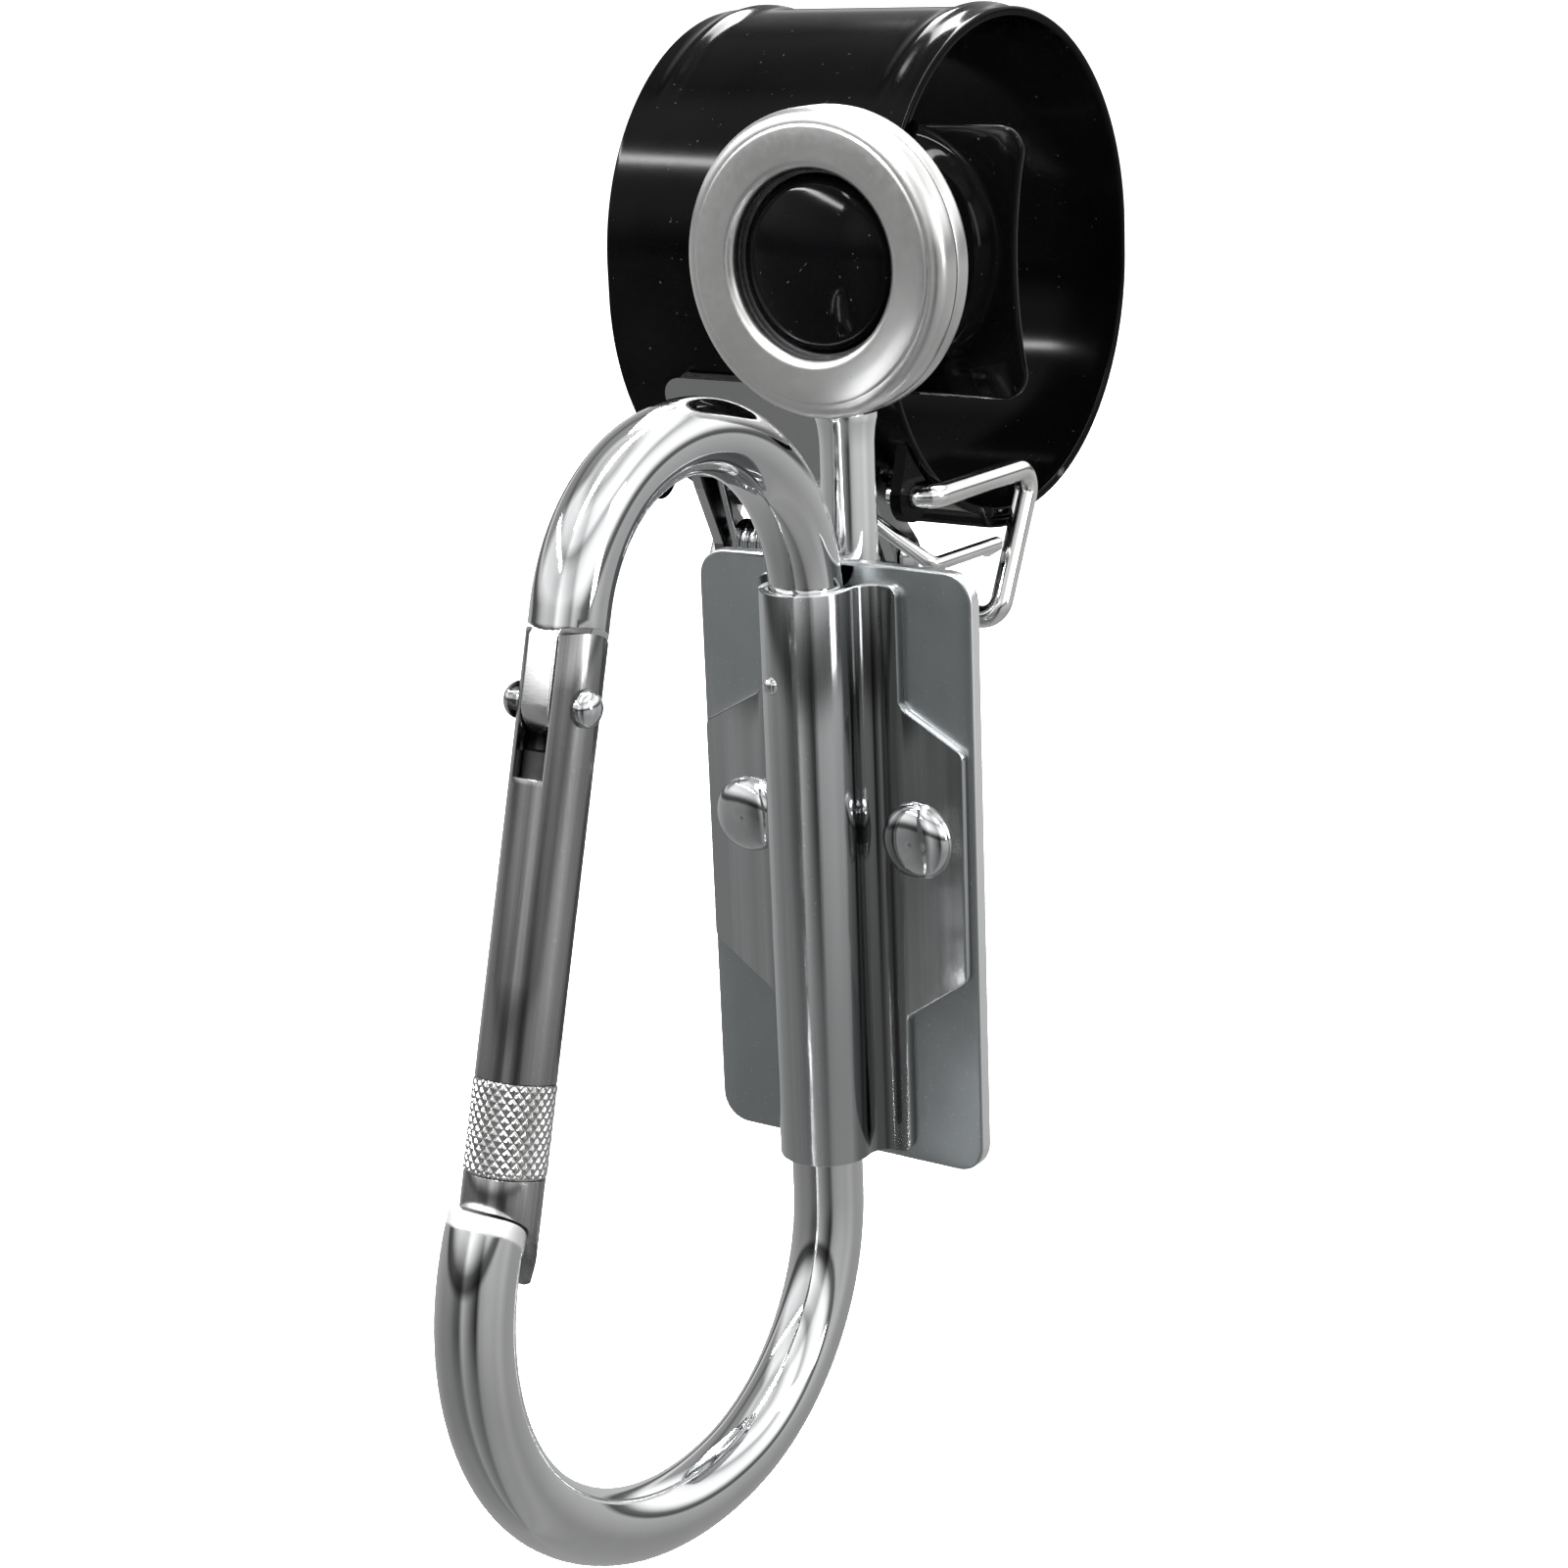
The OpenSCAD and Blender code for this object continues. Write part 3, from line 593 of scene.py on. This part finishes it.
def band_section(outer_steps=120, inner_steps=20, edge_steps=5):
    """section of the sheet as (across, depth from the outside, whether on the outer face)"""
    flat, e, t = LOOP_HALF_W - LOOP_EDGE, LOOP_EDGE, LOOP_T
    turns = [math.pi / 2 * k / edge_steps for k in range(1, edge_steps + 1)]
    section = [(-flat + 2 * flat * j / outer_steps, 0.0, True) for j in range(outer_steps + 1)]
    section += [(flat + e * math.sin(a), -e + e * math.cos(a), False) for a in turns]
    section += [(flat + e * math.cos(a), -t + e - e * math.sin(a), False) for a in turns]
    section += [(flat - 2 * flat * j / inner_steps, -t, False) for j in range(1, inner_steps + 1)]
    section += [(-flat - e * math.sin(a), -t + e - e * math.cos(a), False) for a in turns]
    section += [(-flat - e * math.cos(a), -e + e * math.sin(a), False) for a in turns[:-1]]
    return section


def bead(x):
    """height of the two raised beads at a place across the band"""
    return sum(BEAD_H * math.exp(-((x - s * BEAD_X) / BEAD_SPREAD) ** 2) for s in (-1, 1))


def build_band():
    # one end of the sheet starts behind the lap; the other runs round and comes to lie over it
    first_turn, whole_turn, steps = -11.5, 379.0, 300
    section = band_section()
    rows = []
    for i in range(steps + 1):
        turn = first_turn + whole_turn * i / steps
        lift = (LOOP_T + LAP_GAP) * smoothstep(343.5, 346.5, turn)
        on_top = smoothstep(112, 128, turn) * (1 - smoothstep(218, 232, turn))
        row = []
        for x, depth, outer in section:
            raised = bead(x) * on_top if outer else 0.0
            row.append(hub(LOOP_MID[0] + x, *loop_point(turn, LOOP_R + depth + lift + raised)))
        rows.append(row)
    ob = piece("belt_loop_sheet", grid(rows, close_v=True, cap=True), FINISH["black"],
               "belt_loop", 180)
    cut(ob, [prism(disc((0, 0), POST_R + 1.85), facing, 8, 21)], smooth=50)
    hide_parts("loop_band")


# ------------------------------------------------------------------ post and its flange
def post_profile():
    """outline of the post as (radius, depth), from the dome's top round to the floor of the core"""
    r = POST_R
    rim_turn = math.degrees(math.asin((r - DOME_RIM) / DOME_R))
    prof = [(x, y) for y, x in arc((DOME_Y, 0), -DOME_R, 0, -rim_turn, 24)]
    # rounding between the dome and the side
    x0, y0 = prof[-1]
    bend = (r - x0) / (1 - math.sin(math.radians(rim_turn)))
    middle = (y0 + bend * math.cos(math.radians(rim_turn)), r - bend)
    prof += [(x, y) for y, x in arc(middle, -bend, -rim_turn, -90, 10)][1:]
    # groove for the snap ring
    prof += [(r, 4.2), (9.75, 4.22), (9.75, 5.58), (r, 5.6)]
    # collar and the neck behind it
    prof += [(r, 7.66), (r + 0.1, 7.7), (12.1, 7.7), (12.3, 7.9), (12.3, 8.6), (12.15, 8.8),
             (r + 1.3, 8.85), (r + 1.25, 8.95), (r + 1.25, 13.4)]
    # flare into the flange, back face and core
    prof += arc((14.3, 16.4), 3, 180, 90, 10)
    prof += [(14.4, 20.55), (CORE_R + 0.05, 20.55), (CORE_R, 20.4), (CORE_R, 1.7), (0, 1.7)]
    return prof


def hollow_side(x, top, low, out, n=24):
    """side of the flange between two heights, bowed inward; out is the direction it looks in"""
    shares = [i / n for i in range(n + 1)]
    return [(x - out * FLANGE_HOLLOW * 4 * u * (1 - u), top + (low - top) * u) for u in shares]


def level_side(start, end, height, n=4):
    """top or bottom of the flange, between two places across"""
    return [(start + (end - start) * i / n, height) for i in range(n + 1)]


def flange_outline():
    w, r = FLANGE_HALF_W, FLANGE_CORNER
    right, top, low = w - r, FLANGE_TOP - r, FLANGE_LOW + r
    out = level_side(-right, right, FLANGE_TOP)
    out += arc((right, top), r, 90, 0, 8)[1:]
    out += hollow_side(w, top, low, 1)[1:]
    out += arc((right, low), r, 0, -90, 8)[1:]
    out += level_side(right, -right, FLANGE_LOW)[1:]
    out += arc((-right, low), r, -90, -180, 8)[1:]
    out += hollow_side(-w, low, top, -1)[1:]
    out += arc((-right, top), r, 180, 90, 8)[1:-1]
    return out


def build_post():
    ob = piece("post_shell", lathe(post_profile(), facing, 192, closed=False), FINISH["black_post"],
               "belt_loop", 40)
    flange = piece("post_flange", prism(flange_outline(), facing, *FLANGE_Y), FINISH["black_post"],
                   "belt_loop", 40)
    cut(flange, [prism(disc((0, 0), CORE_R), facing, 15, 24)])
    bevel(flange, 0.28, 3)
    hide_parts("post_hat")


# ------------------------------------------------------------------ ring
def ring_profile(lip, roll):
    """section of one half of the ring: rolled lip, face, crease, rounded rim and the inside"""
    prof = arc((lip + roll, roll), roll - 0.02, 180, 270, 12)
    prof += [(lip + roll + 0.6, 0.02), (lip + roll + 1.4, 0.0), (15.2, 0.0), (15.45, 0.05), (15.6, 0.16)]
    prof += arc((15.65, 1.85), 1.68, 272, 360, 16)
    prof += [(17.35, 2.6), (17.35, 3.3), (17.28, 3.46), (17.1, 3.5), (16.36, 3.5), (16.35, 1.9)]
    prof += arc((15.6, 1.75), 0.75, 0, -90, 6)
    prof += [(lip + roll + 0.3, 1.0), (lip + 0.95, 1.2), (lip + 0.85, 1.98), (lip + 0.75, 2.05),
             (lip + 0.1, 2.05), (lip + 0.02, 1.9)]
    return prof


def build_ring():
    below = (-30, 0)
    ob = piece("ring_front", lathe(ring_profile(*FRONT_LIP), facing, 288), FINISH["satin"],
               "swivel", 30)
    cut(ob, [prism(disc((0, STEM_Y), STEM_HOLE_R, 64), hub, *below)], smooth=30)
    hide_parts("ring_front_shell")
    rear = [(r, RING_DEPTH - y) for r, y in ring_profile(*REAR_LIP)]
    ob = piece("ring_rear", lathe(rear, facing, 288), FINISH["satin"], "swivel", 30)
    slot = arc((0, STEM_Y), STEM_HOLE_R, 180, 360, 32) + [(STEM_HOLE_R, 12), (-STEM_HOLE_R, 12)]
    cut(ob, [prism(slot, hub, *below)], smooth=30)
    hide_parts("ring_rear_shell")


# ------------------------------------------------------------------ stem
def build_stem():
    def about_stem(u, v, h):
        return hub(u, STEM_Y + v, h)

    chamfer, flare, flare_z, flare_len = 0.12, 0.44, -21.4, 3.6
    prof = [(STEM_R - chamfer * (1 - i / 4) ** 2, STEM_LOW + chamfer * i / 4) for i in range(5)]
    prof += [(STEM_R, -30), (STEM_R, -25), (STEM_R, flare_z)]
    prof += [(STEM_R + flare * (i / 10) ** 2, flare_z + flare_len * i / 10) for i in range(1, 11)]
    prof += [(STEM_R + flare, STEM_TOP), (STEM_BORE, STEM_TOP), (STEM_BORE, STEM_LOW)]
    ob = piece("stem_tube", lathe(prof, about_stem, 96), FINISH["stem"], "swivel", 40)
    cut(ob, [prism(disc((0, 0), 17.6, 128), facing, -2, 16)], smooth=40)
    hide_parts("stem_sleeve")


# ------------------------------------------------------------------ plate, strap and rivets
def build_plate():
    w, steps = PLATE_HALF_W, 8
    out = round_poly([(-w, PLATE_TOP), (w, PLATE_TOP), (w, PLATE_LOW), (-w, PLATE_LOW)], PLATE_CORNER, steps)
    # the notch goes between the two upper corners; the outline then goes back over its mouth
    mouth = (-PLATE_NOTCH, PLATE_TOP)
    notch = arc((0, PLATE_TOP), PLATE_NOTCH, -180, 0, 20)
    out = out[:steps + 1] + [mouth] + notch + [mouth] + out[steps + 1:]
    ob = piece("back_plate_sheet", prism(out, facing, *PLATE_Y), FINISH["plate"],
               "swivel", 40)
    bevel(ob, 0.32, 3)
    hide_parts("back_plate")


def fold_line(offset):
    """one side of the folded strap in plan, right to left; offset is its distance behind the front"""
    tube = BAR_SEAT_R + 0.1 + STRAP_T
    valley_y = STRAP_Y - VALLEY_R
    valley_x = math.sqrt((tube + VALLEY_R) ** 2 - (valley_y - SPINE_Y) ** 2)
    meet = math.degrees(math.atan2(valley_y - SPINE_Y, valley_x))
    valley = arc((valley_x, valley_y), VALLEY_R + offset, 90, 180 + meet, 14)
    line = [(WING_HALF_W, STRAP_Y + offset)] + valley
    line += arc((0, SPINE_Y), tube - offset, meet, -180 - meet, 96)[1:]
    line += [(-x, y) for x, y in reversed(valley)][1:]
    return line + [(-WING_HALF_W, STRAP_Y + offset)]


def build_strap():
    plan = fold_line(0.0) + fold_line(STRAP_T)[::-1]
    ob = piece("strap_fold", prism(plan, hub, STRAP_LOW, STRAP_TOP), FINISH["strap"],
               "swivel", 30)
    half = [(TAB_HALF_W, STRAP_TOP), (TAB_HALF_W, -50), (WING_HALF_W, -54.6), (WING_HALF_W, -81.9),
            (TAB_HALF_W, -87.6), (TAB_HALF_W, STRAP_LOW)]
    blank = round_poly(half + [(-x, z) for x, z in reversed(half)], 1.5, 8)
    cut(ob, [prism(blank, facing, -12, 6)], operation="INTERSECT", smooth=30)
    bevel(ob, 0.22, 2, 50, 40)
    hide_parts("spine_strap")


def build_rivets():
    head = [(4.56, 0.0), (4.58, 0.22)]
    for i in range(17):
        fall = math.radians(88 * (1 - i / 16))
        rise = math.pi / 2 * i / 16
        head.append((0.02 + 4.5 * math.sin(fall) ** 0.92, 0.28 + 1.98 * math.sin(rise) ** 0.85))
    head += [(0, 2.27), (0, 0)]
    tail = [(0, 5.86), (3.45, 5.86), (3.6, 6.0), (3.6, 6.6), (3.3, 6.95), (2.4, 7.08), (0, 7.1)]
    for side, letter in ((-1, "l"), (1, "r")):
        def head_at(u, v, h):
            return hub(side * RIVET_X + u, RIVET_SEAT - h, RIVET_Z + v)

        def tail_at(u, v, h):
            return hub(side * RIVET_X + u, h, RIVET_Z + v)

        ob = piece("rivet_head_" + letter, lathe(head, head_at, 96), FINISH["rivet"],
                   "swivel", 60)
        piece("rivet_tail_" + letter, lathe(tail, tail_at, 96), FINISH["rivet"],
              "swivel", 50)
        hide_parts("plate_rivets")


# ------------------------------------------------------------------ carabiner
def carabiner_path():
    """middle line of the bar as (depth, height), from the gate's hinge round to the nose"""
    top_r, hook_r, spine_r, belly_r, nose_r = 22.7, 19.5, 26.9, 38.8, 31.0
    top = (SPINE_Y - top_r, TOP_BEND_Z)
    hook = polar(top, top_r - hook_r, 112)
    spine = (SPINE_Y - spine_r, LOW_BEND_Z)
    belly = polar(spine, spine_r - belly_r, -79)
    nose = polar(belly, belly_r - nose_r, -131)
    end = polar(hook, hook_r, 164)
    tail = [along_gate(end, 4.6 * (1 - i / 5)) for i in range(5)]
    line = tail + arc(hook, hook_r, 164, 112, 36) + arc(top, top_r, 112, 0, 70)[1:]
    line += [(SPINE_Y, TOP_BEND_Z + (LOW_BEND_Z - TOP_BEND_Z) * i / 24) for i in range(1, 24)]
    line += arc(spine, spine_r, 0, -79, 56)
    line += arc(belly, belly_r, -79, -131, 44)[1:]
    line += arc(nose, nose_r, -131, -214, 56)[1:]
    return line, end


def along_gate(point, distance):
    return point[0] - math.sin(LEAN) * distance, point[1] - math.cos(LEAN) * distance


BAR_PATH, BAR_TOP_END = carabiner_path()
GATE_TOP = along_gate(BAR_TOP_END, 3.3)


def gate_point(x, y, z):
    """the gate's own frame to the shared one: z runs down the gate and -y is its front"""
    depth = y * math.cos(LEAN) - z * math.sin(LEAN)
    height = -y * math.sin(LEAN) - z * math.cos(LEAN)
    return hub(x, GATE_TOP[0] + depth, GATE_TOP[1] + height)


def gate_front(u, v, h):
    """outline seen from the gate's front, extruded through it"""
    return gate_point(u, h, v)


def gate_side(u, v, h):
    """outline of the gate's depth and length, extruded across"""
    return gate_point(h, u, v)


def pin_in_gate():
    """depth and length of the pin in the gate's own frame"""
    back, up = PIN[0] - GATE_TOP[0], PIN[1] - GATE_TOP[1]
    return back * math.cos(LEAN) - up * math.sin(LEAN), -back * math.sin(LEAN) - up * math.cos(LEAN)


def build_carabiner():
    ob = piece("carabiner_bar", sweep([(0, y, z) for y, z in BAR_PATH], BAR_R, 96), FINISH["bright"],
               "swivel", 40)
    scallop = prism(disc(PIN, 8.25, 128), sideways, -8, 8)
    above_nose = arc(NOSE, NOSE_R, -4.8, 94.8, 60) + [(-71.7, -70), (-50, -70), (-50, -97.8)]
    cut(ob, [scallop, prism(above_nose, sideways, -8, 8)], smooth=40)
    bevel(ob, 0.7, 5, 45, 50)
    # flat tenon that the gate hangs on
    y, z = pin_in_gate()
    root_y, eye_r = -3.6, 3.1
    outline = [(root_y, -3.4), (y + 2.5, -3.4), (y + 2.6, -1.6), (y + eye_r, -0.6)]
    outline += arc((y, z), eye_r, 0, 180, 28)
    outline += [(y - eye_r, -0.3), (root_y, -1.2)]
    tenon = piece("gate_tenon", prism(outline, gate_side, -1.8, 1.8), FINISH["tenon"],
                  "swivel", 40)
    bevel(tenon, 0.25, 3)
    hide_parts("carabiner_frame")


# ------------------------------------------------------------------ gate
def build_sleeve():
    r, soft = GATE_R, GATE_R - 0.12
    prof = [(GATE_BORE, -3.0), (r, -3.0)] + [(r, z) for z in (5, 15, 25, 35, 45.42)]
    # seat of the knurled band
    prof += [(soft, 45.5), (3.86, 45.52), (3.86, 55.38), (soft, 55.4), (r, 55.48)]
    prof += [(r, 60), (r, GATE_LEN - 0.4), (r - 0.3, GATE_LEN), (0, GATE_LEN)]
    prof += [(0, 40), (GATE_BORE, 40), (GATE_BORE, 20)]
    ob = piece("gate_sleeve", lathe(prof, gate_point, 128), FINISH["gate"], "gate", 35)
    w, scoop_r, deep = 1.95, 7.6, 14
    front_slot = prism([(-w, -8), (w, -8), (w, 14.4), (-w, 14.4)], gate_front, -8, 0)
    back_slot = prism([(-w, -8), (w, -8), (w, 6.3), (-w, 6.3)], gate_front, 0, 8)
    nose_seat = prism(disc(NOSE, NOSE_R + NOSE_GAP, 160), sideways, -10, 10)
    # everything above the arc that clears the bar's scalloped end
    left, right, high = PIN[0] - deep, PIN[0] + deep, PIN[1] + 22
    above = [(left, PIN[1]), (left, high), (right, high), (right, PIN[1])]
    above += arc(PIN, scoop_r, 0, 180, 60)
    cut(ob, [front_slot, back_slot, nose_seat, prism(above, sideways, -8, 8)], smooth=35)
    bevel(ob, 0.16, 2, 50, 40)
    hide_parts("gate_tube")


def build_knurl():
    around, along, starts, pitch = 384, 132, 12, 1.32
    low, high = KNURL_SPAN
    seat = disc((0, 0), KNURL_SEAT, around)
    rows = [[gate_point(u, v, low) for u, v in seat]]
    for j in range(along + 1):
        z = low + (high - low) * j / along
        fade = min(1.0, min(j, along - j) / 4.0)
        row = []
        for i in range(around):
            turn = 2 * math.pi * i / around
            lead, climb = turn * starts, z * math.pi / pitch
            diamond = 1 - max(abs(math.cos(lead + climb)) ** 6, abs(math.cos(lead - climb)) ** 6)
            r = KNURL_R + KNURL_CUT * diamond * fade
            row.append(gate_point(r * math.cos(turn), r * math.sin(turn), z))
        rows.append(row)
    rows.append([gate_point(u, v, high) for u, v in seat])
    ob = piece("knurl_band", grid(rows, close_v=True, close_u=True), FINISH["grip"],
               "gate", 50)
    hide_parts("grip_band")


def build_pin():
    def about_pin(u, v, h):
        return hub(h, PIN[0] + u, PIN[1] + v)

    half, head_r, crown, shank_r = 4.4, 2.0, 1.5, 1.3
    turns = [math.radians(a) for a in range(0, 91, 10)]
    prof = [(head_r * math.sin(a), -half - crown * math.cos(a)) for a in turns]
    prof += [(shank_r, -half + 0.02), (shank_r, half - 0.02)]
    prof += [(head_r * math.sin(a), half + crown * math.cos(a)) for a in reversed(turns)]
    ob = piece("gate_pivot_pin", lathe(prof, about_pin, 64), FINISH["rivet"], "swivel", 50)
    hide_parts("gate_pin")


# ------------------------------------------------------------------ wires
def build_bail():
    right, left, leg = 3.7, -39.7, 5.6
    ear_y, ear_z, back_y, bow_y, bow_z = 18.6, -29.2, 42.3, 33.4, -46.9
    path = [(right - leg, ear_y, ear_z), (right, ear_y, ear_z), (right, back_y, ear_z - 0.1),
            (right, bow_y, bow_z), (left, bow_y, bow_z),
            (left, back_y, ear_z - 0.1), (left, ear_y, ear_z), (left + leg, ear_y, ear_z)]
    ob = piece("bail_bow", sweep(wire_path(path, 2.4, 14), BAIL_R, 48, BAIL_NECK), FINISH["wire"],
               "bail", 60)
    bevel(ob, 0.3, 3, 50, 60)
    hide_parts("bail_wire")


def build_keeper():
    path = [(-9.5, 19.6, -27.4), (-9.5, 14.6, -27.4), (3.9, 18.4, -37.2), (3.9, 33.4, -37.4),
            (0.9, 35.4, -39.0)]
    ob = piece("keeper_bow", sweep(wire_path(path, 1.4, 12), KEEPER_R, 40), FINISH["wire"],
               "lever", 60)
    bevel(ob, 0.2, 3, 50, 60)
    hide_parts("keeper_wire")


build_band()
build_post()
build_ring()
build_stem()
build_plate()
build_strap()
build_rivets()
build_carabiner()
build_sleeve()
build_knurl()
build_pin()
build_bail()
build_keeper()


# ------------------------------------------------------------------ floor
def build_floor(half=6.0, gap=0.06):
    s = Surface("studio_floor")
    s.wire(s.mix(s.noise(s.coords(), 3.0), (0.90, 0.90, 0.90), (0.93, 0.93, 0.93)), s.shader["Base Color"])
    s.shader["Roughness"].default_value = 0.8
    s.shader["Emission Color"].default_value = (1, 1, 1, 1)
    s.shader["Emission Strength"].default_value = 0.6
    z = cad_box[0][2] - gap
    corners = [(-half, -half, z), (half, -half, z), (half, half, z), (-half, half, z)]
    floor = new_object("floor", (corners, [(0, 1, 2, 3)]))
    floor.data.materials.append(s.material)
    floor.visible_glossy = False


build_floor()

# ------------------------------------------------------------------ surroundings
# brightness by height, from straight down at 0 to straight up at 1: grey below, a dark horizon and
# banks of lamps above
BY_HEIGHT = [(0.0, 0.34), (0.30, 0.27), (0.44, 0.30), (0.485, 0.34), (0.505, 0.06), (0.53, 0.12),
             (0.56, 0.62), (0.60, 0.95), (0.67, 0.80), (0.715, 0.38), (0.75, 0.90), (0.83, 1.0),
             (0.90, 0.5), (1.0, 0.9)]
# a gain over the same heights, which goes beyond 1 above the horizon
HEIGHT_GAIN = [(0.53, 1.0), (0.58, 1.32)]
# brightness by compass, in degrees round from FRONT_BEARING, which is where the camera stands
FRONT_BEARING = 35
BY_BEARING = [(-180, 2.0), (-130, 1.48), (-110, 1.18), (-94, 0.97), (-80, 0.94), (-67, 0.79),
              (-54, 0.42), (-42, 0.30), (-31, 1.72), (-19, 1.03), (-7, 0.45), (5, 0.07), (15, 1.39),
              (29, 1.75), (43, 1.85), (57, 1.78), (74, 2.15), (94, 1.6), (140, 1.8), (180, 2.0)]
# how much of the compass pattern shows at each height: all of it at the horizon, none overhead
BEARING_SHARE = [(0.0, 0.2), (0.33, 0.55), (0.43, 1.0), (0.5, 1.0), (0.60, 0.45), (0.75, 0.35), (1.0, 0.0)]
# dark panel behind the object and above eye level: how much it takes away by compass, where 0.5 is
# the camera's side, and by height
PANEL_BEARING = [(0.0, 0.75), (0.167, 0.75), (0.22, 0.0), (0.945, 0.0), (0.985, 0.75)]
PANEL_HEIGHT = [(0.55, 0.0), (0.59, 1.0), (0.82, 1.0), (0.88, 0.0)]


def build_world():
    world = bpy.data.worlds.new("studio")
    bpy.context.scene.world = world
    world.use_nodes = True
    world.node_tree.nodes.clear()
    w = Nodes(world.node_tree)

    def scaled_ramp(fac, stops):
        """ramp for values beyond 1, which a colour ramp can't hold"""
        top = max(value for _, value in stops)
        return w.product(w.ramp(fac, [(pos, value / top) for pos, value in stops]), top)

    x, y, z = w.split(w.node("TexCoord").outputs["Generated"])
    height = w.calc("ADD", w.calc("DIVIDE", w.calc("ARCSINE", z), math.pi), 0.5)
    c, s = polar((0, 0), 1, FRONT_BEARING)
    ahead = w.calc("SUBTRACT", w.product(x, s), w.product(y, c))
    aside = w.calc("ADD", w.product(x, c), w.product(y, s))
    bearing = w.calc("ADD", w.calc("DIVIDE", w.calc("ARCTAN2", aside, ahead), 2 * math.pi), 0.5)

    pattern = scaled_ramp(bearing, [((a + 180) / 360, value) for a, value in BY_BEARING])
    share = w.ramp(height, BEARING_SHARE)
    around = w.calc("ADD", w.product(pattern, share), w.calc("SUBTRACT", 1.0, share))
    panel = w.product(w.ramp(bearing, PANEL_BEARING), w.ramp(height, PANEL_HEIGHT))
    tall = w.product(w.ramp(height, BY_HEIGHT), scaled_ramp(height, HEIGHT_GAIN))
    glow = w.product(tall, around, w.calc("SUBTRACT", 1.0, panel))

    lit = w.node("Background")
    w.wire(glow, lit.inputs[0])
    plain = w.node("Background")
    w.wire((1, 1, 1), plain.inputs[0])
    # what the camera sees directly is plain white
    choice = w.node("MixShader")
    w.wire(w.node("LightPath").outputs["Is Camera Ray"], choice.inputs[0])
    w.wire(lit.outputs[0], choice.inputs[1])
    w.wire(plain.outputs[0], choice.inputs[2])
    w.wire(choice.outputs[0], w.node("OutputWorld").inputs[0])


build_world()


# ------------------------------------------------------------------ lamps
LAMP_TARGET = (0.0, -0.03, -0.05)


def area(name, bearing, elevation, distance, width, length, power):
    """soft lamp that faces the object from a bearing (0 is the front) and an elevation"""
    lamp = bpy.data.lights.new(name, "AREA")
    lamp.shape = "RECTANGLE"
    lamp.size = width
    lamp.size_y = length
    lamp.energy = power
    ob = bpy.data.objects.new(name, lamp)
    bpy.context.scene.collection.objects.link(ob)
    a, e = math.radians(bearing), math.radians(elevation)
    outward = Vector((math.sin(a) * math.cos(e), -math.cos(a) * math.cos(e), math.sin(e)))
    ob.location = Vector(LAMP_TARGET) + outward * distance
    ob.rotation_euler = outward.to_track_quat("Z", "Y").to_euler()
    return ob


area("softbox_top", 0, 89.9, 1.1, 0.14, 1.7, 34.0)
area("strip_left", -42, 38, 1.2, 1.3, 0.05, 20.0)
area("strip_behind", -149, 51, 1.2, 0.24, 0.58, 14.0)
area("softbox_right", 95, 20, 1.2, 0.25, 0.8, 4.0)
area("floor_fill", 10, 60, 2.2, 2.2, 2.2, 30.0).visible_glossy = False


# ------------------------------------------------------------------ camera
def build_camera():
    camera = bpy.data.cameras.new("view")
    camera.sensor_width = 36.0
    camera.lens = 70.877
    camera.clip_start = 0.01
    camera.clip_end = 50.0
    ob = bpy.data.objects.new("view", camera)
    bpy.context.scene.collection.objects.link(ob)
    right = Vector((0.823221, 0.566422, -0.038385))
    up = Vector((-0.126368, 0.248736, 0.960293))
    pose = Matrix((right, up, right.cross(up))).transposed().to_4x4()
    pose.translation = Vector((0.213277, -0.326962, 0.044319))
    ob.matrix_world = pose
    bpy.context.scene.camera = ob


build_camera()
bpy.context.scene.view_settings.view_transform = "Standard"
